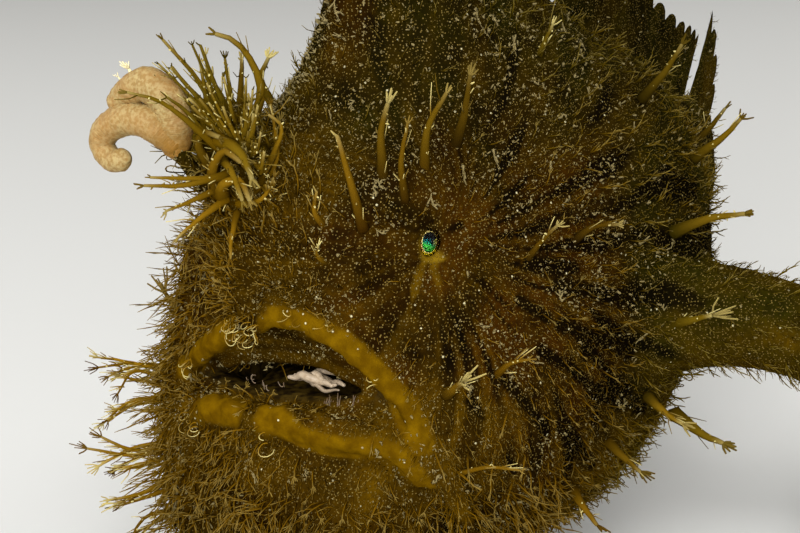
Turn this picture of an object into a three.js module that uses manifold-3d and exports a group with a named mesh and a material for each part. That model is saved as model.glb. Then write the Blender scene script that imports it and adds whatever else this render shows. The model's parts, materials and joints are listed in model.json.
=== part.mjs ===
// Striated frogfish resting on its fins, life size, with the worm-like lure folded beside its snout.
// Millimetres, +Z up. The fish looks along -Y and its left side is +X. While it is shaped, y is
// counted back from the tip of the muzzle and z up from the floor.
import * as THREE from 'three';
import { mergeVertices } from 'three/addons/utils/BufferGeometryUtils.js';
import Module from 'manifold-3d';

const wasm = await Module();
wasm.setup();

// Driving dimensions
const GAP = 0.3;
const MUZZLE_HALF_WIDTH = 20;
const MUZZLE_ROUNDING = 4.2;
const CORNER_X = 23;
const LIP_RADIUS = 2.0;
const EYE = { x: 17.7, y: 12.4, z: 63.0, radius: 3.5, opening: 3.1 };
const GILL_LINE_Y = 54;
const TAIL_LINE_Y = 100;
const TAIL_BEND = { from: 70, over: 92, reach: 24 };
const FACE_COAT = 0.9;
const FLANK_COAT = 3.2;
const BEARD_COAT = 1.8;
const JAW_SEAM_Z = 37.6;
const MOUTH_DEPTH = 15;
const DORSAL_RAYS = 12;
const ANAL_RAYS = 7;
const CAUDAL_RAYS = 9;
const PECTORAL_RAYS = 10;
const PELVIC_RAYS = 5;

// Masses of flesh: centre, half sizes, and how softly each runs into the ones before it
const MASSES = [
  { at: [0, 50, 48], half: [31, 50, 39.5], blend: 0 },
  { at: [0, 46, 27], half: [26, 36, 21], blend: 10 },
  { at: [0, 25.5, 46], half: [27, 25.5, 31], blend: 8 },
  { at: [0, 15.5, 40], half: [25.5, 13.5, 14], blend: 7 },
  { at: [0, 22, 63], half: [20, 20, 15], blend: 6 },
  { at: [0, 14.5, 28], half: [23, 17.5, 17], blend: 6 },
  { at: [0, 27, 20], half: [23, 24, 15], blend: 8 },
  { at: [0, 40, 78], half: [16, 24, 14], blend: 8 },
  { at: [0, 106, 50], half: [8.5, 32, 16], blend: 16 },
  { at: [0, 9.5, 60], half: [13.5, 11, 11], blend: 5 },
  { at: [17, 29, 40], half: [15, 22, 21], blend: 6, paired: true },
  { at: [13.5, 14, 69], half: [6.5, 8, 4.5], blend: 5, paired: true },
];

// Lip edges as heights over x. The gape is a little lopsided, higher on the fish's left.
const UPPER_LIP = heightCurve([
  [-23, 32.5], [-19.2, 37.8], [-14.4, 41.9], [-9.9, 45.2], [-6, 47.7], [-2.3, 50],
  [2, 51.4], [5.4, 51.8], [8.8, 51.4], [12, 50.4], [15, 48.8], [17.5, 46.3],
  [19.5, 44], [21.2, 41.6], [23, 37], [23.6, 34],
]);
const LOWER_LIP = heightCurve([
  [-23, 31.5], [-19, 32.6], [-14.5, 33.8], [-9, 35.8], [-3.5, 36.5], [0.5, 36.2],
  [5, 37.8], [8.8, 38.1], [12, 37.5], [16.3, 37.4], [20.5, 36.5], [21.7, 35.2], [23.6, 31.5],
]);

// Stalks of skin long enough to change the outline: where they start, where they end, their radius
const FACE_STALKS = [
  { from: [14.3, 5.0, 66.9], to: [11.7, 3.0, 78.2], radius: 0.7 },
  { from: [15.1, 8.5, 72.7], to: [15.6, 8.8, 83.0], radius: 0.95 },
  { from: [18.5, 9.0, 70.4], to: [19.6, 8.2, 80.5], radius: 0.6 },
  { from: [18.0, 13.9, 73.2], to: [19.7, 16.5, 83.6], radius: 0.7 },
  { from: [17.1, 21.6, 75.2], to: [18.3, 23.3, 84.3], radius: 0.95 },
  { from: [28.4, 35.1, 60.0], to: [34.4, 37.1, 62.8], radius: 0.7 },
  { from: [26.0, 9.3, 43.5], to: [30.6, 7.7, 47.3], radius: 0.8 },
];
const FLANK_STALKS = [
  { from: [31.5, 58.5, 57.0], to: [40.0, 62.5, 60.5], radius: 0.8 },
  { from: [30.5, 62.0, 26.0], to: [37.5, 64.0, 22.5], radius: 0.9 },
];
const BUSH_STALKS = 13;
const BUSH_LENGTH = 16;

function heightCurve(points) {
  const slope = (i) => {
    const a = points[Math.max(i - 1, 0)];
    const b = points[Math.min(i + 1, points.length - 1)];
    return (b[1] - a[1]) / (b[0] - a[0]);
  };
  return (x) => {
    const held = THREE.MathUtils.clamp(x, points[0][0], points.at(-1)[0]);
    let i = 0;
    while (i < points.length - 2 && held > points[i + 1][0]) i += 1;
    const [x0, z0] = points[i];
    const [x1, z1] = points[i + 1];
    const width = x1 - x0;
    const t = (held - x0) / width;
    const rise = (3 - 2 * t) * t * t;
    return z0 * (1 - rise) + z1 * rise
      + width * (slope(i) * t * (1 - t) ** 2 - slope(i + 1) * t * t * (1 - t));
  };
}

function midline(y) {
  return -TAIL_BEND.reach * (Math.max(y - TAIL_BEND.from, 0) / TAIL_BEND.over) ** 2;
}

function muzzleFront(x) {
  return MUZZLE_ROUNDING * (Math.abs(x) / MUZZLE_HALF_WIDTH) ** 3;
}

function softUnion(a, b, blend) {
  if (blend === 0) return Math.min(a, b);
  const overlap = Math.max(blend - Math.abs(a - b), 0) / blend;
  return Math.min(a, b) - overlap * overlap * blend * 0.25;
}

function massDistance(mass, x, y, z) {
  const px = (mass.paired ? Math.abs(x) : x) - mass.at[0];
  const p = [px, y - mass.at[1], z - mass.at[2]];
  const near = Math.hypot(p[0] / mass.half[0], p[1] / mass.half[1], p[2] / mass.half[2]);
  const steep = Math.hypot(p[0] / mass.half[0] ** 2, p[1] / mass.half[1] ** 2, p[2] / mass.half[2] ** 2);
  return near * (near - 1) / (steep + 1e-6);
}

// Distance to the bare flesh, below zero inside it
function fleshDistance(x, y, z) {
  const straight = x - midline(y);
  return MASSES.reduce(
    (distance, mass) => softUnion(distance, massDistance(mass, straight, y, z), mass.blend),
    Infinity,
  );
}

// Depth of the filaments that clothe the skin: least on the face, more on chin and flanks
function coatDepth(y, z) {
  const back = THREE.MathUtils.smoothstep(y, 10, 60);
  const beard = BEARD_COAT * (1 - THREE.MathUtils.smoothstep(z, 24, 34)) * (1 - back);
  return THREE.MathUtils.lerp(FACE_COAT, FLANK_COAT, back) + beard;
}

function outerDistance(point, extra) {
  return fleshDistance(point.x, point.y, point.z) - coatDepth(point.y, point.z) - extra;
}

// First point along a ray from inside the body where the coat ends
function surfaceAlong(origin, direction, extra) {
  const point = new THREE.Vector3();
  const at = (distance) => outerDistance(point.copy(direction).multiplyScalar(distance).add(origin), extra);
  let near = 0;
  let far = 1.5;
  while (at(far) < 0) {
    near = far;
    far += 1.5;
  }
  for (let i = 0; i < 24; i += 1) {
    const middle = (near + far) / 2;
    if (at(middle) < 0) near = middle;
    else far = middle;
  }
  at(near);
  return point.clone();
}

// The whole body as a ball whose poles lie on the muzzle and the root of the tail fin
function bodySolid(extra) {
  const geometry = new THREE.SphereGeometry(1, 34, 30).rotateX(-Math.PI / 2);
  const position = geometry.attributes.position;
  const direction = new THREE.Vector3();
  for (let i = 0; i < position.count; i += 1) {
    direction.fromBufferAttribute(position, i);
    const back = Math.acos(THREE.MathUtils.clamp(-direction.y, -1, 1)) / Math.PI;
    const y = THREE.MathUtils.lerp(20, 116, THREE.MathUtils.smoothstep(back, 0.08, 1));
    const origin = new THREE.Vector3(midline(y), y, THREE.MathUtils.lerp(44, 50, back));
    position.setXYZ(i, ...surfaceAlong(origin, direction, extra));
  }
  return solid(geometry);
}

// A closed geometry as a solid that can be cut and joined
function solid(geometry) {
  const bare = geometry.clone();
  bare.deleteAttribute('normal');
  bare.deleteAttribute('uv');
  const merged = mergeVertices(bare, 1e-4);
  const triVerts = new Uint32Array(merged.index.array);
  const vertProperties = new Float32Array(merged.attributes.position.array);
  return new wasm.Manifold(new wasm.Mesh({ numProp: 3, vertProperties, triVerts }));
}

function block(low, high) {
  const size = high.map((value, axis) => value - low[axis]);
  const middle = high.map((value, axis) => (value + low[axis]) / 2);
  return solid(new THREE.BoxGeometry(...size).translate(...middle));
}

// A side view in y and z, carried across the whole width
function sidePrism(outline) {
  const shape = new THREE.Shape(outline.map(([y, z]) => new THREE.Vector2(y, z)));
  const geometry = new THREE.ExtrudeGeometry(shape, { depth: 140, bevelEnabled: false });
  return solid(geometry.translate(0, 0, -70).rotateY(Math.PI / 2).rotateX(Math.PI / 2));
}

// A round stalk along a curve; its radius is a function of the share of the way along it
function stalk(points, radiusAt, sides, steps) {
  const curve = new THREE.CatmullRomCurve3(points.map((p) => new THREE.Vector3(...p)));
  const frames = curve.computeFrenetFrames(steps);
  const geometry = new THREE.CylinderGeometry(1, 1, 1, sides, steps);
  const position = geometry.attributes.position;
  for (let i = 0; i < position.count; i += 1) {
    const along = 0.5 - position.getY(i);
    const ring = Math.round(along * steps);
    const radius = radiusAt(along);
    const place = curve.getPointAt(along)
      .addScaledVector(frames.normals[ring], position.getX(i) * radius)
      .addScaledVector(frames.binormals[ring], position.getZ(i) * radius);
    position.setXYZ(i, place.x, place.y, place.z);
  }
  return outward(solid(geometry), geometry);
}

// Turns a geometry inside out when its faces look inwards
function outward(candidate, geometry) {
  if (candidate.volume() > 0) return candidate;
  const index = geometry.index.array;
  for (let i = 0; i < index.length; i += 3) [index[i], index[i + 1]] = [index[i + 1], index[i]];
  return solid(geometry);
}

// A fin: a thin sheet from a base line to a scalloped edge, thicker along each ray
function fin({ rays, rows, root, tip, normal, thickness, scallop }) {
  const columns = (rays - 1) * 2;
  const geometry = new THREE.BoxGeometry(1, 1, 1, columns, rows, 1);
  const position = geometry.attributes.position;
  for (let i = 0; i < position.count; i += 1) {
    const across = position.getX(i) + 0.5;
    const out = position.getY(i) + 0.5;
    const onRay = Math.cos(Math.PI * across * (rays - 1)) ** 2;
    const reach = out * (1 - scallop * (1 - onRay));
    const start = new THREE.Vector3(...root(across));
    const place = start.clone().lerp(new THREE.Vector3(...tip(across, out)), reach);
    const half = thickness * (1 - 0.45 * out) * (0.55 + 0.45 * onRay) / 2;
    place.addScaledVector(new THREE.Vector3(...normal(across, out)), 2 * position.getZ(i) * half);
    position.setXYZ(i, place.x, place.y, place.z);
  }
  return outward(solid(geometry), geometry);
}

function lipPoints(height, drop) {
  const points = [];
  for (let i = 0; i <= 22; i += 1) {
    const x = THREE.MathUtils.lerp(-CORNER_X + 0.4, CORNER_X, i / 22);
    const jut = drop * (1 - (x / CORNER_X) ** 2);
    points.push([x, muzzleFront(x) + 0.2 - jut, height(x)]);
  }
  return points;
}

function upperLip(extra) {
  const radiusAt = (t) => LIP_RADIUS + 0.4 - 0.9 * (2 * t - 1) ** 4 + extra;
  return stalk(lipPoints(UPPER_LIP, 0), radiusAt, 6, 20);
}

function lowerLip(extra) {
  const radiusAt = (t) => LIP_RADIUS + 0.3 - 0.6 * (2 * t - 1) ** 4 + extra;
  return stalk(lipPoints(LOWER_LIP, 1.4), radiusAt, 6, 20);
}

// The open mouth: its outline seen from the front, carried back into the head
function mouthOpening(shrink) {
  const outline = new THREE.Shape();
  outline.moveTo(-16 + shrink, JAW_SEAM_Z + shrink);
  outline.lineTo(15 - shrink, JAW_SEAM_Z + shrink);
  for (const x of [15, 12, 9, 5.4, 2, -2, -6, -10, -14]) {
    const held = THREE.MathUtils.clamp(x, -16 + shrink, 15 - shrink);
    outline.lineTo(held, UPPER_LIP(x) - 1 - shrink);
  }
  const depth = MOUTH_DEPTH + 12 - 2 * shrink;
  const geometry = new THREE.ExtrudeGeometry(outline, { depth, bevelEnabled: false });
  return solid(geometry.rotateX(Math.PI / 2).translate(0, MOUTH_DEPTH - shrink, 0));
}

function lowerJawPrism(extra) {
  return sidePrism([
    [-30, -20],
    [26 + extra, -20],
    [25 + extra, 20],
    [16 + extra, JAW_SEAM_Z + extra],
    [-30, JAW_SEAM_Z + extra],
  ]);
}

function skinStalk({ from, to, radius }) {
  const start = new THREE.Vector3(...from);
  const end = new THREE.Vector3(...to);
  const axis = end.clone().sub(start);
  const rooted = start.clone().addScaledVector(new THREE.Vector3(0, start.y, 50).sub(start).normalize(), 3);
  const bowed = start.clone().addScaledVector(axis, 0.5).add(new THREE.Vector3(0.5, -0.4, 0));
  const radiusAt = (t) => radius * (1.15 - 0.35 * Math.sin(Math.PI * t));
  return stalk([rooted, start, bowed, end].map((p) => p.toArray()), radiusAt, 5, 4);
}

// Second spine of the back, bent forwards over the snout under a bush of stalks
const SPINE_2_LINE = [[0, 7, 63], [0, 3, 70], [-0.5, -1, 76], [-1, -3, 82]];
function secondSpine() {
  const body = stalk(SPINE_2_LINE, (t) => 5.6 - 3.8 * t, 7, 4);
  let joined = body;
  for (let i = 0; i < BUSH_STALKS; i += 1) {
    const share = i / (BUSH_STALKS - 1);
    const turn = THREE.MathUtils.degToRad(200 - 170 * share + 14 * Math.sin(5 * i));
    const forward = -0.35 + 0.5 * Math.sin(2.4 * i);
    const aim = new THREE.Vector3(Math.cos(turn), forward, Math.abs(Math.sin(turn)) + 0.25).normalize();
    const start = new THREE.Vector3(-0.6, 0.5 - 3 * ((i % 3) / 2), 74 + 5 * ((i % 4) / 3));
    const length = BUSH_LENGTH * (0.8 + 0.35 * Math.abs(Math.sin(3.1 * i)));
    const middle = start.clone().addScaledVector(aim, length * 0.55).add(new THREE.Vector3(0, -0.6, 0.8));
    const end = start.clone().addScaledVector(aim, length);
    const line = [start, middle, end].map((p) => p.toArray());
    joined = joined.add(stalk(line, (t) => 0.95 - 0.35 * t, 4, 3));
  }
  return joined;
}

// Third spine of the back: a thick bent-back horn with a fleshy web behind it
function thirdSpine() {
  const horn = stalk([[0, 31, 76], [0, 28.5, 88], [0, 27, 100], [0, 30, 112], [0, 36, 121]], (t) => 14 - 11 * t, 10, 6);
  const web = stalk([[0, 33, 84], [0, 44, 90], [0, 55, 89], [0, 62, 84]], (t) => 7.5 - 2.5 * t, 7, 4);
  return horn.add(web);
}

// The fishing rod and its worm of two thick lobes
const ROD_LINE = [[-1, 3, 61], [-2, -1.5, 66], [-5, -6, 71], [-8, -7.5, 75.5]];
function rod(extra) {
  return stalk(ROD_LINE, (t) => 1.25 - 0.35 * t + extra, 6, 6);
}

function worm() {
  const thick = stalk(
    [[-8, -7.5, 75], [-10.5, -7.5, 81], [-12.5, -8, 85.5], [-16.6, -9, 85.6], [-20, -9, 81.5]],
    (t) => 1.5 + 1.4 * Math.sin(Math.PI * Math.min(0.12 + t * 0.95, 1)) ** 0.6,
    8,
    9,
  );
  const thin = stalk(
    [[-8.3, -8, 75], [-14.4, -9.5, 78.8], [-18.2, -10.5, 79], [-20.6, -11, 76], [-19, -11, 73.2], [-15.5, -10.5, 74]],
    (t) => 1.9 - 0.5 * t,
    7,
    10,
  );
  return thick.add(thin);
}

function armLine(side) {
  return [[20, 58, 42], [28, 62, 42.5], [40, 69, 42], [51, 74, 37.5], [57, 75.5, 25], [57, 74, 10]]
    .map(([x, y, z]) => [side * x, y, z]);
}

function pectoralArm(side, extra) {
  const radiusAt = (t) => 10.6 - 10.5 * t + 5.2 * t * t + extra;
  return stalk(armLine(side), radiusAt, 8, 8);
}

// A hand-like fin spread on the floor, its ray tips cut to small flats
function handFin({ side, rays, wrist, from, to, reach, height, thickness }) {
  const bearing = (across) => THREE.MathUtils.degToRad(THREE.MathUtils.lerp(from, to, across));
  const ring = (across, radius, z) => [
    wrist[0] + side * Math.sin(bearing(across)) * radius,
    wrist[1] - Math.cos(bearing(across)) * radius,
    z,
  ];
  const sheet = fin({
    rays,
    rows: 3,
    root: (across) => ring(across, reach * 0.12, height),
    tip: (across, out) => ring(across, reach, -0.1 + (height * 0.32) * Math.sin(Math.PI * out) * out),
    normal: (across, out) => {
      const tilt = 0.75 * (1 - out);
      return [
        side * Math.sin(bearing(across)) * tilt,
        -Math.cos(bearing(across)) * tilt,
        Math.sqrt(1 - tilt * tilt),
      ];
    },
    thickness,
    scallop: 0.1,
  });
  return sheet.subtract(block([-200, -200, -20], [200, 200, 0]));
}

function softDorsal() {
  const base = (across) => THREE.MathUtils.lerp(68, 121, across);
  const ridge = (y) => surfaceAlong(new THREE.Vector3(midline(y), y, 50), new THREE.Vector3(0, 0, 1), 0).z;
  const length = (across) => 21 - 4 * across - 7 * (1 - across) ** 4;
  const lean = (across) => THREE.MathUtils.degToRad(24 + 32 * across);
  return fin({
    rays: DORSAL_RAYS,
    rows: 2,
    root: (across) => [midline(base(across)), base(across) - 2, ridge(base(across)) - 5],
    tip: (across) => {
      const y = base(across) + Math.sin(lean(across)) * length(across);
      return [midline(y), y, ridge(base(across)) + Math.cos(lean(across)) * length(across)];
    },
    normal: () => [1, 0, 0],
    thickness: 3.2,
    scallop: 0.08,
  });
}

function analFin() {
  const base = (across) => THREE.MathUtils.lerp(90, 117, across);
  const length = (across) => 16 - 3 * across;
  const lean = (across) => THREE.MathUtils.degToRad(32 + 28 * across);
  return fin({
    rays: ANAL_RAYS,
    rows: 2,
    root: (across) => [midline(base(across)), base(across) - 2, 40 + 3 * across],
    tip: (across) => {
      const y = base(across) + Math.sin(lean(across)) * length(across);
      return [midline(y), y, 29 + 6 * across - Math.cos(lean(across)) * length(across)];
    },
    normal: () => [1, 0, 0],
    thickness: 3.0,
    scallop: 0.08,
  });
}

function tailFin() {
  const spread = (across) => 2 * across - 1;
  return fin({
    rays: CAUDAL_RAYS,
    rows: 2,
    root: (across) => [midline(127), 127, 50 + 10 * spread(across)],
    tip: (across) => {
      const angle = THREE.MathUtils.degToRad(34 * spread(across));
      const length = 33 - 5 * spread(across) ** 2;
      const y = 128 + Math.cos(angle) * length;
      return [midline(y), y, 50 + 10.5 * spread(across) + Math.sin(angle) * length];
    },
    normal: () => [0.87, 0.49, 0],
    thickness: 3.2,
    scallop: 0.06,
  });
}

function ball(centre, radius, half = [1, 1, 1]) {
  return solid(new THREE.SphereGeometry(radius, 12, 8).scale(...half).translate(...centre));
}

function eye(side) {
  return ball([side * EYE.x, EYE.y, EYE.z], EYE.radius);
}

// Room for an eyeball, open through the coat to the side
function eyeSocket(side) {
  const window = new THREE.CylinderGeometry(EYE.opening, EYE.opening, 8, 14)
    .rotateZ(Math.PI / 2)
    .translate(side * (EYE.x + 4.5), EYE.y, EYE.z);
  return ball([side * EYE.x, EYE.y, EYE.z], EYE.radius + GAP).add(solid(window));
}

const MATERIALS = {
  skin: new THREE.MeshStandardMaterial({ color: 0x5d4410, roughness: 0.75, metalness: 0 }),
  fins: new THREE.MeshStandardMaterial({ color: 0x6a4e12, roughness: 0.7, metalness: 0 }),
  lips: new THREE.MeshStandardMaterial({ color: 0x8a6a12, roughness: 0.5, metalness: 0 }),
  mouth: new THREE.MeshStandardMaterial({ color: 0x6b5030, roughness: 0.5, metalness: 0 }),
  lure: new THREE.MeshStandardMaterial({ color: 0xd2b183, roughness: 0.65, metalness: 0 }),
  eye: new THREE.MeshStandardMaterial({ color: 0x1d6b50, roughness: 0.1, metalness: 0 }),
};

const fish = new THREE.Group();

// The main body of a cut shape, without the crumbs that crossing cuts leave
function mainBody(shape) {
  return shape.decompose().sort((a, b) => b.volume() - a.volume())[0];
}

function addNode(name, material, shape) {
  const { vertProperties, triVerts, numProp } = mainBody(shape).getMesh();
  const geometry = new THREE.BufferGeometry();
  const points = new THREE.InterleavedBuffer(vertProperties, numProp);
  geometry.setAttribute('position', new THREE.InterleavedBufferAttribute(points, 3, 0));
  geometry.setIndex(new THREE.BufferAttribute(triVerts, 1));
  const mesh = new THREE.Mesh(geometry, material);
  mesh.name = name;
  fish.add(mesh);
}

const body = bodySolid(0);
const bodyClear = bodySolid(GAP);

const spine2 = secondSpine().subtract(bodyClear).subtract(rod(GAP));

const headRegion = block([-90, -40, -10], [90, GILL_LINE_Y - GAP / 2, 140]);
const trunkRegion = block([-90, GILL_LINE_Y + GAP / 2, -10], [90, TAIL_LINE_Y - GAP / 2, 140]);
const tailRegion = block([-90, TAIL_LINE_Y + GAP / 2, -10], [90, 200, 140]);

const lips = upperLip(GAP).add(lowerLip(GAP));
let head = body.intersect(headRegion)
  .subtract(lowerJawPrism(GAP))
  .subtract(mouthOpening(0))
  .subtract(lips)
  .subtract(eyeSocket(1))
  .subtract(eyeSocket(-1));
for (const item of FACE_STALKS) head = head.add(skinStalk(item));

const jaw = body.intersect(lowerJawPrism(0)).subtract(lips);
const tongue = ball([0, 8, 37.5], 1, [9.5, 7, 3.4])
  .intersect(mouthOpening(GAP))
  .subtract(lips);

addNode('head', MATERIALS.skin, head);
addNode('lower_jaw', MATERIALS.skin, jaw);
addNode('upper_lip', MATERIALS.lips, upperLip(0));
addNode('lower_lip', MATERIALS.lips, lowerLip(0).subtract(upperLip(GAP)));
addNode('tongue', MATERIALS.mouth, tongue);
addNode('eye_left', MATERIALS.eye, eye(1));
addNode('eye_right', MATERIALS.eye, eye(-1));
addNode('illicium', MATERIALS.skin, rod(0).subtract(bodyClear));
addNode('esca', MATERIALS.lure, worm().subtract(rod(GAP)).subtract(spine2));
addNode('dorsal_spine_2', MATERIALS.skin, spine2);
addNode('dorsal_spine_3', MATERIALS.skin, thirdSpine().subtract(bodyClear));
let trunk = body.intersect(trunkRegion);
for (const item of FLANK_STALKS) trunk = trunk.add(skinStalk(item));
addNode('trunk', MATERIALS.skin, trunk);
addNode('tail_stalk', MATERIALS.skin, body.intersect(tailRegion));
addNode('soft_dorsal_fin', MATERIALS.fins, softDorsal().subtract(bodyClear));
addNode('anal_fin', MATERIALS.fins, analFin().subtract(bodyClear));
addNode('caudal_fin', MATERIALS.fins, tailFin().subtract(bodyClear));

for (const [label, side] of [['left', 1], ['right', -1]]) {
  const arm = pectoralArm(side, 0);
  const hand = handFin({
    side, rays: PECTORAL_RAYS, wrist: [side * 57, 74], from: -35, to: 105, reach: 19, height: 9, thickness: 3.4,
  });
  const foot = handFin({
    side, rays: PELVIC_RAYS, wrist: [side * 15, 24], from: -10, to: 85, reach: 15, height: 7, thickness: 3.4,
  });
  addNode(`pectoral_arm_${label}`, MATERIALS.skin, arm.subtract(bodyClear));
  addNode(`pectoral_fin_${label}`, MATERIALS.fins, hand.subtract(pectoralArm(side, GAP)));
  addNode(`pelvic_fin_${label}`, MATERIALS.fins, foot.subtract(bodyClear));
}

const box = new THREE.Box3().setFromObject(fish);
const middle = box.getCenter(new THREE.Vector3());
fish.position.set(-middle.x, -middle.y, -box.min.z);

const frogfish = new THREE.Group();
frogfish.add(fish);

export default frogfish;
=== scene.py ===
# %% [markdown]
# # A striated frogfish, life size
#
# This lesson dresses a packed frogfish, made of plain solids, as a museum model. The solids say
# where every part lies. Here they get one skin, eyes, a lure and a coat of skin filaments.
#
# The frame is loaded first.

# %% The frame
import itertools
import json
import math

import bpy
import numpy as np
import openvdb
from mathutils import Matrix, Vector

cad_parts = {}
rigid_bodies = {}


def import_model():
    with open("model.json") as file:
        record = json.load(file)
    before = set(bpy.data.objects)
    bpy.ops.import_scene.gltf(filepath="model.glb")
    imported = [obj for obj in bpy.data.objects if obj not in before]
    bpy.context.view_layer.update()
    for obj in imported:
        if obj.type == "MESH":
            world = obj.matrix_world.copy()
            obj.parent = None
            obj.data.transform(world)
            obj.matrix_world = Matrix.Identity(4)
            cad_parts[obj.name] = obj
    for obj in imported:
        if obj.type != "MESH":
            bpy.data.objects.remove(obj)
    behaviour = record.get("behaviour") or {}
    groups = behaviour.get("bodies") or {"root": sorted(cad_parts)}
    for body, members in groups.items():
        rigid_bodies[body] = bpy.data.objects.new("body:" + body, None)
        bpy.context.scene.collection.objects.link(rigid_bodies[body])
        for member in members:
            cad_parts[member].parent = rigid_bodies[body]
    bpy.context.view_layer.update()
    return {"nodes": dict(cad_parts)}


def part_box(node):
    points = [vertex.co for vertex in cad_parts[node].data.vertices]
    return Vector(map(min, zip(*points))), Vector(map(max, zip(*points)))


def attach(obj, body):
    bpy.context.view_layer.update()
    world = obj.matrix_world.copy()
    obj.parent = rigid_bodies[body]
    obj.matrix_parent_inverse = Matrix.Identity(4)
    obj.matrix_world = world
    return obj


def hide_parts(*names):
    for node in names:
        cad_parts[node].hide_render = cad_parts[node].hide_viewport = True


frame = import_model()
SCENE = bpy.context.scene
print("solids loaded:", len(frame["nodes"]))

# %% [markdown]
# ## Places on the fish
#
# It is easier to think of a fish in millimetres, with y counted back from the tip of the muzzle and
# z up from the floor, than in metres round the middle of a box. The left eye says where the frame
# put that origin, so one offset turns places on the fish into places in the scene.

# %% From millimetres on the fish to metres in the scene
EYE = np.array([17.7, 12.4, 63.0])
EYE_RADIUS = 3.5
GAZE = np.array([math.cos(0.22), -math.sin(0.22), 0.05])
BEND_FROM, BEND_LENGTH, TAIL_BEND = 70.0, 92.0, 24.0


def middle_of(node):
    low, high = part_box(node)
    return (np.array(low) + np.array(high)) * 500


OFFSET = middle_of("eye_left") - EYE


def to_scene(points):
    """Millimetres on the fish to metres in the scene."""
    return (np.asarray(points, float) + OFFSET) / 1000


def steps(value, low, high):
    """A smooth rise from 0 at low to 1 at high."""
    share = np.clip((value - low) / (high - low), 0, 1)
    return share * share * (3 - 2 * share)


def midline(y):
    """The tail bends to the fish's right."""
    return -TAIL_BEND * (np.clip(y - BEND_FROM, 0, None) / BEND_LENGTH) ** 2


print("offset of the fish in the frame, mm:", np.round(OFFSET, 2))

# %% [markdown]
# ## Random, but the same each time
#
# Skin is never even. A small lattice of random numbers, read with smooth blending between its
# points, gives a value that wanders through space. The seed is fixed, so each run is the same.

# %% A value that wanders
LATTICE = np.random.default_rng(7).uniform(-1, 1, (32, 32, 32)).astype(np.float32)


def wander(points, size, seed=0):
    """About -1 to 1, changing over `size` millimetres, at points of shape (..., 3)."""
    turned = points @ np.array([[0.8, 0.6, 0.0], [-0.48, 0.64, 0.6], [0.36, -0.48, 0.8]])
    cell = turned / size + np.array([3.7, 5.3, 7.9]) * (seed + 1)
    low = np.floor(cell).astype(int)
    part = cell - low
    part = part * part * (3 - 2 * part)
    value = 0.0
    for corner in itertools.product((0, 1), repeat=3):
        weight = np.prod(np.where(corner, part, 1 - part), axis=-1)
        index = (low + corner) % 32
        value = value + weight * LATTICE[index[..., 0], index[..., 1], index[..., 2]]
    return value


print("wander at the eye:", round(float(wander(EYE[None], 5.0)[0]), 3))

# %% [markdown]
# ## Clay
#
# Flesh has no seams: a cheek runs into a lip and a shoulder into a flank. Metaballs would do that
# but give no control over the lips, and a subdivided cage would take days. So the body is kept as
# a block of distances to its surface, below zero inside. Adding a mass is a soft minimum, cutting a
# mouth is a soft maximum, and at the end the zero surface is drawn as one mesh.
#
# The cells are about half a millimetre at the face, where one looks closest, and two and a half
# times as large at the tail.

# %% A block of distances
FINE, COARSE = 0.54, 1.35
GRADE_FROM, GRADE_TO = 16.0, 60.0
CORE_Z = 46.0
FAR, SPARE = 30.0, 1.5


def soft_min(a, b, blend):
    overlap = np.clip(1 - np.abs(a - b) / blend, 0, None)
    return np.minimum(a, b) - overlap * overlap * blend * 0.25


def soft_max(a, b, blend):
    return -soft_min(-a, -b, blend)


class Clay:
    """Distances on a grid whose cells grow from the face to the tail."""

    def __init__(self, front=-15.0, back=146.0, wide=80, down=96, up=122):
        stations = [front]
        while stations[-1] < back:
            y = stations[-1]
            stations.append(y + FINE + (COARSE - FINE) * steps(y, GRADE_FROM, GRADE_TO))
        self.y = np.array(stations, np.float32)
        self.cell = np.gradient(self.y)
        self.across = np.arange(-wide, wide + 1, dtype=np.float32)
        self.along_z = np.arange(-down, up + 1, dtype=np.float32)
        shape = (len(self.across), len(self.y), len(self.along_z))
        self.distance = np.full(shape, FAR, np.float32)

    def region(self, low, high, blend):
        """The cells that a form touches, as slices and three coordinate arrays that broadcast."""
        margin = blend + SPARE
        y0, y1 = np.searchsorted(self.y, [low[1] - margin, high[1] + margin])
        cell = self.cell[y0:y1]
        sizes = np.array([cell.min(), cell.max()], float)
        left, right = (low[0] - margin) / sizes, (high[0] + margin) / sizes
        x0, x1 = np.searchsorted(self.across, [left.min(), right.max()])
        bottom, top = (low[2] - margin - CORE_Z) / sizes, (high[2] + margin - CORE_Z) / sizes
        z0, z1 = np.searchsorted(self.along_z, [bottom.min(), top.max()])
        place = (slice(x0, x1), slice(y0, y1), slice(z0, z1))
        x = self.across[x0:x1, None, None] * cell[None, :, None]
        y = self.y[None, y0:y1, None]
        z = CORE_Z + self.along_z[None, None, z0:z1] * cell[None, :, None]
        return place, x - midline(y).astype(np.float32), y, z

    def add(self, form, blend):
        """Joins a form, softly over `blend` millimetres."""
        shape, low, high = form
        place, x, y, z = self.region(low, high, blend)
        self.distance[place] = soft_min(self.distance[place], shape(x, y, z), blend)

    def cut(self, form, blend):
        """Takes a form away."""
        shape, low, high = form
        place, x, y, z = self.region(low, high, blend)
        self.distance[place] = soft_max(self.distance[place], -shape(x, y, z), blend)

    def surface(self):
        """The zero surface: points in millimetres and four-sided faces that look outwards."""
        grid = openvdb.FloatGrid(FAR)
        grid.copyFromArray(self.distance)
        points, quads = grid.convertToQuads(isovalue=0.0)
        station = points[:, 1]
        y = np.interp(station, np.arange(len(self.y)), self.y)
        cell = np.interp(station, np.arange(len(self.y)), self.cell)
        x = (points[:, 0] - (len(self.across) - 1) / 2) * cell
        z = CORE_Z + (points[:, 2] + self.along_z[0]) * cell
        return np.stack([x, y, z], 1), quads.astype(np.int64)


clay = Clay()
print("cells of clay:", clay.distance.shape)

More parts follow.
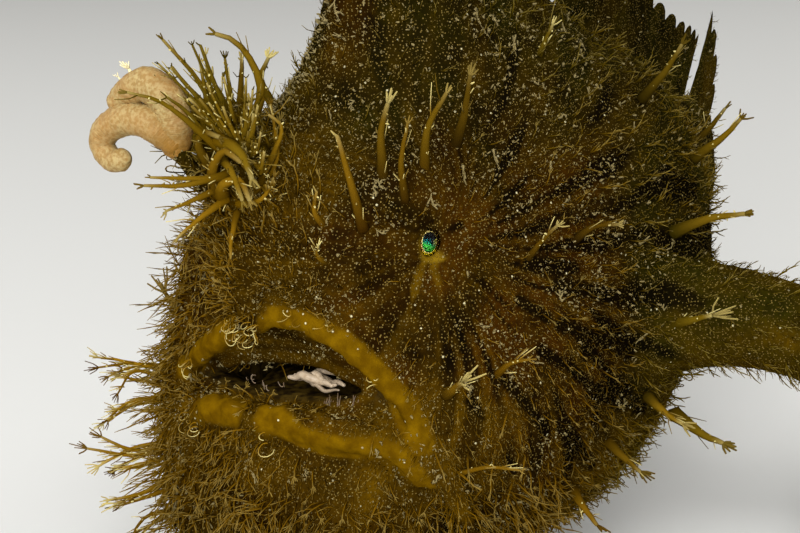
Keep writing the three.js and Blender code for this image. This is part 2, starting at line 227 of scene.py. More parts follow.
# %% Forms: an egg, and a tube along a path
def egg(centre, half, paired=False):
    """An ellipsoid; a paired one has a twin on the other side."""
    centre, half = np.array(centre, float), np.array(half, float)

    def shape(x, y, z):
        px = (np.abs(x) if paired else x) - centre[0]
        py, pz = y - centre[1], z - centre[2]
        near = np.sqrt((px / half[0]) ** 2 + (py / half[1]) ** 2 + (pz / half[2]) ** 2)
        steep = np.sqrt((px / half[0] ** 2) ** 2 + (py / half[1] ** 2) ** 2 + (pz / half[2] ** 2) ** 2)
        return near * (near - 1) / (steep + 1e-6)

    low, high = centre - half, centre + half
    if paired:
        low[0] = -high[0]
    bend = TAIL_BEND if centre[1] > BEND_FROM else 0
    return shape, low - [bend, 0, 0], high


def smooth_path(points, count):
    """Points along a curve through the given ones."""
    points = np.array(points, float)
    knots = np.concatenate([[0], np.cumsum(np.linalg.norm(np.diff(points, axis=0), axis=1))])
    padded = np.vstack([2 * points[0] - points[1], points, 2 * points[-1] - points[-2]])
    share = np.linspace(0, knots[-1], count)
    i = np.clip(np.searchsorted(knots, share) - 1, 0, len(points) - 2)
    t = ((share - knots[i]) / (knots[i + 1] - knots[i]))[:, None]
    a, b, c, d = padded[i], padded[i + 1], padded[i + 2], padded[i + 3]
    return 0.5 * (2 * b + (c - a) * t + (2 * a - 5 * b + 4 * c - d) * t ** 2
                  + (3 * b - a - 3 * c + d) * t ** 3)


def tube(points, radii, count=None):
    """A round tube whose radius changes along it."""
    count = count or len(points)
    path = smooth_path(points, count) if count > len(points) else np.array(points, float)
    width = np.interp(np.linspace(0, 1, len(path)), np.linspace(0, 1, len(radii)), radii)

    def shape(x, y, z):
        nearest = None
        for a, b, ra, rb in zip(path[:-1], path[1:], width[:-1], width[1:]):
            run = b - a
            length = float(run @ run) + 1e-9
            t = np.clip(((x - a[0]) * run[0] + (y - a[1]) * run[1] + (z - a[2]) * run[2]) / length, 0, 1)
            away = np.sqrt((x - a[0] - t * run[0]) ** 2 + (y - a[1] - t * run[1]) ** 2
                           + (z - a[2] - t * run[2]) ** 2) - (ra + t * (rb - ra))
            nearest = away if nearest is None else np.minimum(nearest, away)
        return nearest

    spread = width[:, None]
    return shape, (path - spread).min(0), (path + spread).max(0)


def mirrored(points, side):
    return [(side * x, y, z) for x, y, z in points]


# %% [markdown]
# ## The masses of the body
#
# A frogfish is nearly a ball: a deep blunt head, no neck, and a short tail stalk. The masses are
# the same as in the solids, without the depth of the coat, so the skin lies that much inside them.

# %% Head, belly and tail stalk
MASSES = [
    (egg((0, 50, 48), (31, 50, 39.5)), 0.01),
    (egg((0, 46, 27), (26, 36, 21)), 10),
    (egg((0, 25.5, 46), (27, 25.5, 31)), 8),
    (egg((0, 15.5, 40), (25.5, 13.5, 14)), 7),
    (egg((0, 22, 63), (20, 20, 15)), 6),
    (egg((0, 14.5, 28), (23, 17.5, 17)), 6),
    (egg((0, 27, 20), (23, 24, 15)), 8),
    (egg((0, 40, 78), (16, 24, 14)), 8),
    (egg((0, 106, 50), (8.5, 32, 16)), 16),
    (egg((0, 9.5, 60), (13.5, 11, 11)), 5),
    (egg((17, 29, 40), (15, 22, 21), paired=True), 6),
    (egg((13.5, 14, 69), (6.5, 8, 4.5), paired=True), 5),
]
for mass, blend in MASSES:
    clay.add(mass, blend)


def flesh(points):
    """Distance to the plain masses at a few points, for finding where the surface lies."""
    x, y, z = np.array(points, float).T
    x = x - midline(y)
    distance = MASSES[0][0][0](x, y, z)
    for (shape, _, _), blend in MASSES[1:]:
        distance = soft_min(distance, shape(x, y, z), blend)
    return distance


def top_of_back(y):
    """Height of the back over the midline."""
    heights = np.linspace(50, 100, 400)
    upright = np.stack([0 * heights + midline(y), 0 * heights + y, heights], 1)
    return heights[flesh(upright) < 0][-1]


print("the back is", round(top_of_back(60.0), 1), "mm high at y = 60")

# %% [markdown]
# ## Spines and limbs
#
# The second spine of the back leans over the snout and carries a bush of filaments. The third is a
# thick horn bent back, with a fleshy web behind it. The breast fins grow from long arms with an
# elbow, and the belly fins from short legs, so the fish stands on four "hands".

# %% Horns, arms and legs
HORN = [(0, 31, 76), (0, 28.5, 88), (0, 27, 100), (0, 30, 112), (0, 35.5, 120)]
HORN_WEB = [(0, 33, 84), (0, 44, 89), (0, 55, 88), (0, 62, 84)]
HORN_RIDGE = [(0, 20, 86), (0, 17.6, 94), (0, 17.9, 102), (0, 21, 111)]
SPINE = [(0, 7, 63), (-0.5, 2.4, 69), (-0.8, -1.2, 74.5), (-1, -3, 80)]
ROD = [(-1, 3, 61), (-2, -1.5, 66), (-5, -6, 71), (-8, -7.5, 75.2)]
clay.add(tube(HORN, [13.5, 10.8, 8.2, 5.6, 2.6], 14), 6)
clay.add(tube(HORN_WEB, [7, 6, 5, 4.2], 8), 7)
clay.add(tube(HORN_RIDGE, [1.2, 1.5, 1.3, 0.9], 12), 2.5)
clay.add(tube(SPINE, [6.6, 5.6, 4.2, 1.8], 10), 5)
clay.add(tube(ROD, [2.0, 1.3, 1.0, 0.9], 12), 1.6)

ARM = [(22, 59, 42), (28, 62, 42.5), (40, 69, 42), (51, 74, 37.5), (57, 75.5, 25), (57, 74, 11)]
LEG = [(8, 29, 13), (12, 26.5, 9), (15.5, 23.5, 5.5)]
for side in (1, -1):
    clay.add(tube(mirrored(ARM, side), [9.6, 8.6, 7.0, 6.2, 5.2, 4.6], 16), 5)
    clay.add(tube(mirrored(LEG, side), [6.0, 4.4, 3.0], 6), 4)
print("deepest point of the clay:", round(float(clay.distance.min()), 1), "mm")

# %% [markdown]
# ## The mouth
#
# The mouth is wide and turned down, and the lips are smooth cords round it. Each lip is a height
# over x; the left side of the gape stands a little higher. Behind the upper lip a thin valve hangs
# from the palate, and behind the lower lip the floor of the mouth rises in folds.

# %% Lip lines
def height_curve(*points):
    """A smooth height over x through a few points."""
    xs, zs = np.array(points, float).T
    slopes = np.gradient(zs, xs)

    def height(x):
        x = np.clip(x, xs[0], xs[-1])
        i = np.clip(np.searchsorted(xs, x) - 1, 0, len(xs) - 2)
        width = xs[i + 1] - xs[i]
        t = (x - xs[i]) / width
        rise = (3 - 2 * t) * t * t
        return (zs[i] * (1 - rise) + zs[i + 1] * rise
                + width * (slopes[i] * t * (1 - t) ** 2 - slopes[i + 1] * t * t * (1 - t)))

    return height


upper_lip = height_curve(
    (-23, 32.5), (-19.2, 37.8), (-14.4, 41.9), (-9.9, 45.2), (-6, 47.7), (-2.3, 50), (2, 51.4), (5.4, 51.8),
    (8.8, 51.4), (12, 50.4), (15, 48.8), (17.5, 46.3), (19.5, 44), (21.2, 41.6), (23, 37), (23.6, 34))
lower_lip = height_curve(
    (-23, 31.5), (-19, 32.6), (-14.5, 33.8), (-9, 35.8), (-3.5, 36.5), (0.5, 36.2), (5, 37.8), (8.8, 38.1),
    (12, 37.5), (16.3, 37.4), (20.5, 36.5), (21.7, 35.2), (23.6, 31.5))
palate = height_curve(
    (-14, 39.6), (-11.3, 40.8), (-5.9, 42.6), (-1.5, 43.6), (2.4, 44.3), (5.9, 44.5), (9.1, 44.2),
    (11.3, 43.6), (15, 42.2))
mouth_floor = height_curve(
    (-17, 37.6), (-14.9, 38.0), (-9.3, 38.0), (-4, 38.4), (2.2, 39.0), (7.2, 39.9), (11.5, 40.8),
    (14.1, 41.6), (17, 42.2))


def muzzle_front(x):
    """How far back the front of the muzzle lies at x."""
    return 4.2 * (np.abs(x) / 20) ** 3


print("the gape is", round(float(upper_lip(5) - lower_lip(5)), 1), "mm high at x = 5")

# %% The gape
def gape(x, y, z):
    """Below zero in the open mouth, and in the shallow fold that runs on to its corners."""
    behind = y - muzzle_front(x)
    roof_share, floor_share = steps(behind, 0.5, 5.0), steps(behind, -1.0, 2.5)
    top = upper_lip(x) * (1 - roof_share) + (palate(x) + 0.3) * roof_share + 4 * steps(behind, 6, 12)
    bottom = (lower_lip(x) * (1 - floor_share) + mouth_floor(x) * floor_share
              - 4 * np.clip((behind - 5) / 8, 0, 1))
    between = np.maximum(z - top, bottom - z)
    deep = soft_max(between, np.maximum(-16 - x, x - 15), 1.5)
    deep = soft_max(deep, y - 24 + 0 * z, 5)
    fold = np.maximum(np.maximum(between, np.abs(x) - 22.0), behind - 2.4)
    return np.minimum(deep, fold)


clay.cut((gape, np.array([-23, -14, 28]), np.array([23, 25, 54])), 1.0)
print("clay left after the gape was cut:", int((clay.distance < 0).sum()), "cells")

# %% Lips: a crease beside each, then two cords
LIP_X = np.linspace(-22.6, 23.2, 56)
IN_LIP = np.abs(LIP_X) / 23


def lip_path(height, forward, rise=0.0):
    """Points along a lip, some way in front of the muzzle and above the lip's own height."""
    return np.stack([LIP_X, muzzle_front(LIP_X) - forward, height(LIP_X) + rise], 1)


pout = 1 - IN_LIP ** 2
thinner = IN_LIP ** 4
swell = 0.28 * np.sin(LIP_X * 0.9 + 1.0) * np.cos(LIP_X * 0.37)
knob = 0.9 * np.exp(-((LIP_X - 0.3) / 2.0) ** 2)
clay.cut(tube(lip_path(upper_lip, 1.5, 3.5 - 0.8 * IN_LIP ** 3), 1.7 + 0 * LIP_X), 2.2)
clay.cut(tube(lip_path(lower_lip, 3.4 * pout, -3.4), 1.6 + 0 * LIP_X), 2.0)
clay.add(tube(lip_path(upper_lip, -0.3), 1.4 - 0.5 * thinner + 0.8 * swell), 1.0)
clay.add(tube(lip_path(upper_lip, -1.1, 1.2), 1.1 - 0.4 * thinner), 1.6)
clay.add(tube(lip_path(lower_lip, 1.1 * pout), 1.7 - 0.4 * thinner + knob + swell), 1.2)
clay.add(tube(lip_path(lower_lip, 0.9 * pout, -1.7), 1.5 - 0.5 * thinner + 0.5 * knob), 1.8)
right_corner, left_corner = lip_path(upper_lip, 0)[[0, -1]]
print("the upper lip runs from", np.round(right_corner, 1), "to", np.round(left_corner, 1))

# %% Palate valve, tongue, and the strip that hangs over the middle of the lip
VALVE_X = np.linspace(-13.5, 13.5, 22)
STRIP = [(-1, -0.6, 60), (-1.2, -1.7, 55), (-1, -1.6, 51.6), (-0.9, -1.2, 49.6)]
STRIP_GROOVE = [(5.6, -0.6, 55.5), (3.6, -1.6, 52.6), (2.4, -1.6, 50.2)]
valve = np.stack([VALVE_X, muzzle_front(VALVE_X) + 5.0, palate(VALVE_X)], 1)
clay.add(tube(valve, 0.9 + 0 * VALVE_X), 1.0)
clay.add(egg((0, 14, 36.5), (11, 10, 3.2)), 2)
clay.add(tube(STRIP, [3.2, 2.4, 1.8, 1.1], 12), 2.2)
clay.cut(tube(STRIP_GROOVE, [0.5, 0.9, 0.8], 8), 0.8)
print("the mouth has its valve and its tongue")

# %% Folds beside the mouth and under the chin
CORNER_CORD = [(23, 6.5, 36), (25.3, 8.9, 31.5), (26.6, 11.6, 26), (26.2, 14.8, 20)]
CORNER_GROOVE = [(20.5, 3.4, 30), (22.5, 5.6, 26), (22.5, 8.2, 21)]
CHIN_CORD = [(15.6, 3.2, 29), (13.6, 2.2, 23), (11.6, 2.4, 17), (9.6, 5, 11)]
CHEEK_FOLD = [(-12.4, 3.6, 62), (-18.2, 7, 56.4), (-21.9, 9, 50.3), (-21.4, 7.6, 44), (-21.6, 5.8, 38.6)]
BEARD_FOLD = [(-21.2, 5.6, 37.6), (-19.6, 2.6, 33.7), (-17.2, 0.8, 29.9), (-15, 0, 25), (-13, -0.2, 20),
              (-11.6, 0.4, 14)]
for side in (1, -1):
    clay.add(tube(mirrored(CORNER_CORD, side), [1.2, 1.7, 1.6, 0.8], 10), 2.5)
    clay.cut(tube(mirrored(CORNER_GROOVE, side), [0.8, 1.3, 0.8], 8), 1.8)
    clay.add(tube(mirrored(CHIN_CORD, side), [2.2, 3.4, 3.6, 2.6], 10), 4)
clay.add(tube(CHEEK_FOLD, [1.6, 2.3, 2.4, 2.3, 2.2], 16), 3.0)
clay.add(tube(BEARD_FOLD, [2.0, 2.8, 3.4, 3.8, 4.2, 3.8], 18), 3.4)
print("eight folds laid")

# %% [markdown]
# ## Round the eyes
#
# The eye is small and looks sideways. It sits in a low turret, in a socket that fits the eyeball of
# the solids, and the skin folds up to its edge. Two nostrils stand in front of it.

# %% Turrets, sockets and nostrils
SHOWN = 1.48
NOSTRILS = [
    ([(9.3, 2.5, 60.6), (9.6, 0.6, 61.4)], [1.5, 1.0], [(9.6, 0.9, 61.2), (9.7, -0.6, 61.8)], [0.45, 0.6]),
    ([(12, 4.6, 57), (12.4, 2.9, 57.3)], [1.5, 1.05], [(12.4, 3.4, 57.3), (12.5, 1.6, 57.4)], [0.5, 0.7])]
GILL_PORE = [(22, 67, 25), (27.5, 68.5, 24.5)]


def eye_middle(side):
    return EYE * [side, 1, 1]


def gaze(side):
    """The direction in which the eye of that side looks, as a unit vector."""
    return GAZE * [side, 1, 1] / np.linalg.norm(GAZE)


def round_sight(side):
    """The gaze of an eye and two directions square to it and to each other."""
    axis = gaze(side)
    upright = np.cross(axis, [0, 1, 0])
    upright /= np.linalg.norm(upright)
    return axis, upright, np.cross(upright, axis)


def socket(side):
    """Room for an eyeball, open where it looks."""
    centre, axis = eye_middle(side), gaze(side)

    def shape(x, y, z):
        px, py, pz = x - centre[0], y - centre[1], z - centre[2]
        across = px * axis[0] + py * axis[1] + pz * axis[2]
        radius = np.sqrt(np.clip(px ** 2 + py ** 2 + pz ** 2 - across ** 2, 0, None))
        ball = np.sqrt(across ** 2 + radius ** 2) - (EYE_RADIUS + 0.05)
        flare = 0.12 * np.clip(across - 2.2, 0, None) ** 2
        window = np.maximum(radius - SHOWN + 0.08 * py - flare, -across)
        return np.minimum(ball, window)

    return shape, centre - 5, centre + 5


def ring_round_eye(side, radius, forward):
    """A circle of points round the line of sight."""
    axis, upright, level = round_sight(side)
    return [eye_middle(side) + forward * axis + radius * (math.sin(a) * upright - math.cos(a) * level)
            for a in np.linspace(0, math.tau, 25)]


for side in (1, -1):
    clay.add(egg(eye_middle(side) - 1.6 * gaze(side), (4.6, 5.2, 5.0)), 3.0)
    clay.add(tube(ring_round_eye(side, 2.1, 2.55), np.full(25, 0.48)), 0.8)
    clay.cut(socket(side), 0.2)
    for rim, rim_radii, hole, hole_radii in NOSTRILS:
        clay.add(tube(mirrored(rim, side), rim_radii), 1.0)
        clay.cut(tube(mirrored(hole, side), hole_radii), 0.2)
    clay.cut(tube(mirrored(GILL_PORE, side), [1.2, 1.6]), 1.5)
print("eyes, nostrils and gill pores cut")

# %% [markdown]
# ## Fins
#
# A fin is a sheet of webs with stiff rays in it. In clay the webs would be blurred, so each fin is a
# sheet of its own, laid out in two directions, across the rays and out along them. It thickens
# towards its root, which sinks into the flesh, and so grows out of it.

# %% A sheet with rays
def fin_sheet(rays, root, tip, normal, flesh, ray=0.62, web=0.2, scallop=0.1, steps_out=15):
    """Points and faces of a closed fin; root, tip and normal are functions of the way across."""
    per_ray = 6
    across = np.linspace(0, 1, (rays - 1) * per_ray + 1)[:, None]
    out = np.linspace(0, 1, steps_out + 1)[None, :]
    ray_share = np.abs(np.cos(np.pi * across * (rays - 1)))
    reach = (out * (1 - scallop * (1 - ray_share ** 0.6) * out))[..., None]
    place = root(across)[:, None, :] * (1 - reach) + tip(across, out) * reach
    base = np.clip(1 - out / 0.5, 0, 1) ** 2
    ribbed = web + (ray * (1 - 0.62 * out) - web) * ray_share ** 3
    half = ribbed + flesh * base * np.sin(np.pi * np.clip(across, 0.08, 0.92))
    waver = 0.5 * out * np.sin(across * 9.0 + 1.0)
    side = normal(across, out)
    upper = place + side * (waver + half)[..., None]
    lower = place + side * (waver - half)[..., None]
    rim = np.zeros(half.shape, bool)
    rim[[0, -1], :] = rim[:, [0, -1]] = True
    upper[rim] = lower[rim] = (place + side * waver[..., None])[rim]
    count = half.size
    top = np.arange(count).reshape(half.shape)
    bottom = np.where(rim, top, top + count)

    def sheet_faces(index):
        return np.stack([index[:-1, :-1], index[1:, :-1], index[1:, 1:], index[:-1, 1:]], -1).reshape(-1, 4)

    points = np.concatenate([upper.reshape(-1, 3), lower.reshape(-1, 3)])
    quads = np.concatenate([sheet_faces(top), sheet_faces(bottom)[:, ::-1]])
    used, quads = np.unique(quads, return_inverse=True)
    points, quads = points[used], quads.reshape(-1, 4)
    a, b, c, d = (points[quads[:, k]] for k in range(4))
    inside_out = (np.cross(a, b) * c + np.cross(a, c) * d).sum() < 0
    return points, quads[:, ::-1] if inside_out else quads


def lerp(a, b, share):
    return a + (b - a) * share


def along_midline(y, z):
    """Points on the fish's middle plane, from arrays of y and z."""
    y, z = np.broadcast_arrays(y, z)
    return np.stack([midline(y), y, z], -1)


print("a fin can be laid out")

# %% Fins of the back, the belly and the tail
BACK_FIN_Y = np.linspace(66, 122, 15)
BACK_FIN_Z = np.array([top_of_back(y) for y in BACK_FIN_Y])


def back_ridge(y):
    return np.interp(y, BACK_FIN_Y, BACK_FIN_Z)


def flat_normal(across, out):
    return np.broadcast_to([1.0, 0.0, 0.0], (len(across), out.shape[1], 3))


def soft_dorsal_fin():
    def root(across):
        y = lerp(68, 121, across[:, 0])
        return along_midline(y - 2, back_ridge(y) - 4)

    def tip(across, out):
        lean, length = np.radians(24 + 32 * across), 20.5 - 4 * across - 7 * (1 - across) ** 4
        y = lerp(68, 121, across) + np.sin(lean) * length
        z = back_ridge(lerp(68, 121, across)) + np.cos(lean) * length
        return along_midline(y + 0 * out, z + 0 * out)

    return fin_sheet(12, root, tip, flat_normal, flesh=2.2)


def anal_fin():
    def root(across):
        return along_midline(lerp(88, 115, across[:, 0]), 40 + 3 * across[:, 0])

    def tip(across, out):
        lean, length = np.radians(32 + 28 * across), 15.5 - 3 * across
        y = lerp(90, 117, across) + np.sin(lean) * length
        return along_midline(y + 0 * out, 29 + 6 * across - np.cos(lean) * length + 0 * out)

    return fin_sheet(7, root, tip, flat_normal, flesh=2.0)


def tail_fin():
    def root(across):
        return along_midline(127.0, 50 + 10 * (2 * across[:, 0] - 1))

    def tip(across, out):
        spread = 2 * across - 1
        angle, length = np.radians(34 * spread), 32.5 - 5 * spread ** 2
        y = 128 + np.cos(angle) * length
        return along_midline(y + 0 * out, 50 + 10.5 * spread + np.sin(angle) * length + 0 * out)

    def normal(across, out):
        return np.broadcast_to([0.87, 0.49, 0.0], (len(across), out.shape[1], 3))

    return fin_sheet(9, root, tip, normal, flesh=2.4, scallop=0.14)


print("the back fin stands on a ridge from z =", round(BACK_FIN_Z[0], 1), "to", round(BACK_FIN_Z[-1], 1))

# %% Hands on the floor
FLOOR_GAP = 0.05


def hand(side, rays, wrist, bearings, reach, height, ray):
    """A fan of fleshy fingers from a wrist down to the floor."""

    def ring(across, radius, z):
        bearing = np.radians(lerp(*bearings, across))
        x = side * (wrist[0] + np.sin(bearing) * radius)
        return np.stack(np.broadcast_arrays(x, wrist[1] - np.cos(bearing) * radius, z), -1)

    def root(across):
        return ring(across[:, 0], reach * 0.1, height)

    def tip(across, out):
        return ring(across, reach * (0.96 + 0.04 * np.sin(across * 23)),
                    0.35 + height * 0.30 * np.sin(np.pi * out) * out)

    def normal(across, out):
        tilt = 0.75 * (1 - out)
        bearing = np.radians(lerp(*bearings, across))
        return np.stack(np.broadcast_arrays(side * np.sin(bearing) * tilt, -np.cos(bearing) * tilt,
                                            np.sqrt(1 - tilt ** 2)), -1)

    points, quads = fin_sheet(rays, root, tip, normal, flesh=1.0, ray=ray, web=0.3, scallop=0.24)
    points[:, 2] = np.maximum(points[:, 2], FLOOR_GAP)
    return points, quads


fins = [soft_dorsal_fin(), anal_fin(), tail_fin()]
for side in (1, -1):
    fins.append(hand(side, 10, (57, 74), (-35, 105), 19, 9, 1.15))
    fins.append(hand(side, 5, (15, 24), (-10, 85), 15, 7, 1.2))
print("fin faces:", sum(len(quads) for _, quads in fins))

# %% [markdown]
# ## One skin
#
# The zero surface becomes a mesh, and the fins join it. Low warts and folds are pushed out along
# the normals, more on the flanks than on the face. The lips have finer ones of their own, and round
# the eye and in the mouth there are none.

# %% Meshes from arrays
def build_mesh(name, points, face_groups, smooth=True):
    """A mesh object at the origin, from points in metres and arrays of faces."""
    mesh = bpy.data.meshes.new(name)
    corners = np.concatenate([faces.ravel() for faces in face_groups])
    sizes = np.concatenate([np.full(len(faces), faces.shape[1]) for faces in face_groups])
    mesh.vertices.add(len(points))
    mesh.vertices.foreach_set("co", np.asarray(points, np.float32).ravel())
    mesh.loops.add(len(corners))
    mesh.loops.foreach_set("vertex_index", corners.astype(np.int32))
    mesh.polygons.add(len(sizes))
    mesh.polygons.foreach_set("loop_start", np.concatenate([[0], np.cumsum(sizes)[:-1]]).astype(np.int32))
    mesh.update(calc_edges=True)
    mesh.validate()
    mesh.polygons.foreach_set("use_smooth", np.full(len(sizes), smooth))
    piece = bpy.data.objects.new(name, mesh)
    SCENE.collection.objects.link(piece)
    return piece


def set_attribute(piece, name, values, kind="FLOAT"):
    attribute = piece.data.attributes.new(name, kind, "POINT")
    key = "vector" if kind == "FLOAT_VECTOR" else "value"
    attribute.data.foreach_set(key, np.ascontiguousarray(values).ravel())


def vertex_normals(points, quads):
    """A unit normal at each point, from the four-sided faces round it."""
    normal = np.cross(points[quads[:, 2]] - points[quads[:, 0]], points[quads[:, 3]] - points[quads[:, 1]])
    total = np.zeros_like(points)
    for corner in range(4):
        for axis in range(3):
            total[:, axis] += np.bincount(quads[:, corner], normal[:, axis], len(points))
    return total / (np.linalg.norm(total, axis=1, keepdims=True) + 1e-12)


skin_points, skin_quads = clay.surface()
body_count = len(skin_points)
for points, quads in fins:
    skin_quads = np.concatenate([skin_quads, quads + len(skin_points)])
    skin_points = np.concatenate([skin_points, points])
print("skin faces:", len(skin_quads))

# %% [markdown]
# ## Where things are
#
# Markings, relief and coat all ask the same questions of a place: is it on a lip, in the mouth, on
# the chin, near the eye? A few functions answer them with a number from 0 to 1.

# %% Regions of the skin
def near_path(points, path, reach):
    """1 on a path, 0 beyond `reach` from it."""
    path = np.asarray(path, float)
    best = np.full(len(points), 1e9)
    for a, b in zip(path[:-1], path[1:]):
        run = b - a
        t = np.clip((points - a) @ run / (run @ run), 0, 1)[:, None]
        best = np.minimum(best, ((points - a - t * run) ** 2).sum(1))
    return 1 - steps(np.sqrt(best), reach * 0.72, reach)


def straightened(points):
    """The same points with the bend of the tail taken out."""
    return np.stack([points[:, 0] - midline(points[:, 1]), points[:, 1], points[:, 2]], 1)


def near_lips(points):
    """1 on both lips; the lower one fades towards its right end."""
    upper = near_path(points, lip_path(upper_lip, -0.2), 2.4)
    sag = 1.7 * steps(LIP_X, 3, 9)
    lower = near_path(points, lip_path(lower_lip, 1.4 * pout, -sag), 2.7)
    return np.maximum(upper, lower * (0.45 + 0.55 * steps(points[:, 0], -15, -8)))


CORNER_FOLD = [(23, 6.3, 36), (25.5, 8.6, 31.5), (27, 11.2, 26), (26.5, 14.5, 20)]


def near_corner(points):
    """1 on the fold that runs down from each corner of the mouth."""
    value = np.zeros(len(points))
    near = (points[:, 1] < 24) & (np.abs(points[:, 0]) > 16) & (points[:, 2] < 44)
    value[near] = near_path(np.abs(points[near]), CORNER_FOLD, 4.0)
    return value


def mouth_regions(p):
    """Lip, cavity and roof of the mouth at straightened points."""
    x, y, z = p.T
    behind, wide = y - muzzle_front(x), np.abs(x)
    front = (y < 14) & (wide < 27) & (z > 26) & (z < 56)
    lip, cavity = np.zeros(len(p)), np.zeros(len(p))
    lip[front] = near_lips(p[front])
    open_mouth = 1 - steps(gape(*p[front].T), 0.2, 1.0)
    cavity[front] = open_mouth * steps(behind[front], 1.2, 2.6)
    deep = steps(y, 6, 12) * (1 - steps(np.abs(gape(x, y, z)), 0.5, 1.5)) * (y < 26) * (wide < 17)
    cavity = np.maximum(cavity, deep)
    roof = (1 - steps(behind, 5.6, 6.6)) * steps(z - palate(x), -1.3, -0.7) * (wide < 17)
    cavity = cavity * (1 - roof)
    under_lip = steps(behind, 0.8, 2.2) * (y < 12) * (z < 53) * (z > 38)
    return {"lip": lip * (1 - cavity), "cavity": cavity, "roof": roof * (cavity + under_lip).clip(0, 1)}


def regions(points):
    """What the skin is at points in millimetres: lip, mouth, chin, arm, and the way from the eye."""
    p = straightened(points)
    x, y, z = p.T
    wide = np.abs(x)
    pupil = eye_middle(1) + 3 * gaze(1)
    from_pupil = np.sqrt((y - pupil[1]) ** 2 + (z - pupil[2]) ** 2)
    return {
        **mouth_regions(p),
        "corner": near_corner(p),
        "chin": (1 - steps(z, 24, 33)) * (1 - steps(y, 26, 46)),
        "arm": steps(wide, 30, 36) * steps(y, 50, 56),
        "beside_mouth": (1 - steps(z, 36, 50)) * (1 - steps(y, 14, 30)) * steps(wide, 12, 20),
        "from_eye": from_pupil + 0.5 * np.clip(17 - wide, 0, None),
    }


def near_spine(points, reach):
    """1 on the second spine of the back."""
    return near_path(points, SPINE, reach)


print("lip at the middle of the upper lip:", regions(lip_path(upper_lip, 0))["lip"][28].round(2))

# %% Warts and folds
skin_normals = vertex_normals(skin_points, skin_quads)
where = regions(skin_points)
relief = (0.24 * wander(skin_points, 3.4) + 0.34 * wander(skin_points, 9.0, 1)
          + 0.12 * wander(skin_points, 1.5, 2))
calm = (1 - where["lip"]) * (1 - where["cavity"]) * steps(where["from_eye"], 3.5, 8)
relief = relief * calm * (0.55 + 0.6 * steps(skin_points[:, 1], 15, 60))
lip_relief = 0.20 * wander(skin_points, 1.4, 3) + 0.20 * wander(skin_points * [2.5, 1, 1], 2.4, 4)
relief += where["lip"] * lip_relief
relief[body_count:] *= 0.25
skin_points += skin_normals * relief[:, None]
skin_points[:, 2] = np.maximum(skin_points[:, 2], FLOOR_GAP)
print("relief up to", round(float(np.abs(relief).max()), 2), "mm")

# %% [markdown]
# ## Markings
#
# Dark streaks radiate from the eye over the cheek and run back over the flank. They could be drawn
# one by one, but a wave that turns about the eye, broken up by noise that is stretched away from
# it, gives them for the whole fish: narrow near the eye, and wider further off. Only a few bold
# bands have places of their own. Lips, chin and folds are golden, the cheek between the streaks is
# rust brown, and brow and back are olive. The same function will colour the skin and the root of
# each filament, so the coat carries the skin's pattern.

# %% Bands that radiate from the eye, and bands with places of their own
SPOKES = 36


def beside_eye(points):
    """The way from the eye and the angle about it, 0 towards the tail and a quarter turn upwards."""
    back, above = points[:, 1] - EYE[1], points[:, 2] - EYE[2]
    return np.hypot(back, above), np.arctan2(above, back)


def stretched(points, width, run, seed):
    """Wandering values in bands that radiate from the eye; width is taken 25 mm from it."""
    radius, angle = beside_eye(points)
    along = radius * width / run + 0.13 * points[:, 0]
    ring = np.stack([25 * np.cos(angle), 25 * np.sin(angle), along], 1)
    return wander(ring, width, seed)


def short_bands(points, bands):
    """1 on a few straight bands on both sides of the face; each is two ends and a half width."""
    value = np.zeros(len(points))
    near = (points[:, 1] < 60) & (np.abs(points[:, 0]) > 8)
    folded = np.column_stack([np.abs(points[near, 0]), points[near, 1:]])
    for start, end, half in bands:
        value[near] = np.maximum(value[near], near_path(folded, [start, end], half))
    return value


UNDER_EYE = [((20.4, 10.8, 60.9), (20.2, 9.6, 58.6), 0.8), ((20.2, 9.6, 58.6), (20.6, 8.6, 56.4), 0.7),
             ((21.2, 11.6, 60.6), (22.4, 11.6, 57.6), 0.6)]
BLOTCHES = [((21.2, 14.2, 64.4), (22, 16.4, 64.8), 0.9), ((27.8, 25.1, 58.8), (29.6, 33.5, 56.4), 1.3),
            ((30, 29.4, 54.9), (31, 46.8, 48.6), 1.5), ((31.4, 27.6, 49.7), (31.1, 47.3, 40.3), 1.5),
            ((31.3, 23.1, 47.1), (32.2, 34.4, 39.1), 1.2), ((32.2, 34.5, 38.3), (28.7, 54.6, 28.9), 1.6),
            ((30.1, 16.7, 44.2), (31.5, 24.4, 34.9), 1.2), ((31.8, 27.6, 34.8), (27.4, 43, 22.6), 1.5),
            ((27.9, 11.7, 42.1), (29.2, 20.6, 29.4), 1), ((28.9, 21.4, 54.3), (30.8, 25.5, 51.1), 1.1),
            ((30.9, 46.8, 50.6), (34.5, 56.3, 48.6), 1.4)]


print("bands with places of their own:", len(UNDER_EYE) + len(BLOTCHES))

# %% Streaks, gold, rust and olive
def streak_marks(p, gold):
    """Dark: streaks on the sides, patches over the brow, bold bands, and a mottled crown."""
    x, y, z = p.T
    radius, angle = beside_eye(p)
    spokes = np.cos(SPOKES * angle + 1.7 * wander(p, 8.0, 3))
    bands = spokes + 1.7 * stretched(p, 4.4, 11.0, 4) - 0.42
    aside = steps(np.cos(angle + 0.42), -0.25, 0.45) * steps(np.abs(x), 3, 9)
    patches = steps(wander(p, 7.0, 5) + 0.5 * wander(p, 2.6, 6), 0.1, 0.5)
    streak = np.maximum(steps(bands, 0.0, 0.40) * aside, 0.75 * patches * (1 - aside) * steps(z, 52, 64))
    streak = streak * steps(radius, 5.5, 10)
    crown = steps(z, 66, 78) * (1 - near_spine(p, 9.0))
    mottled = (0.45 + 0.4 * wander(p, 3.0, 14)).clip(0, 1) * crown
    return np.maximum.reduce([streak * (1 - 0.8 * gold), short_bands(p, BLOTCHES), mottled])


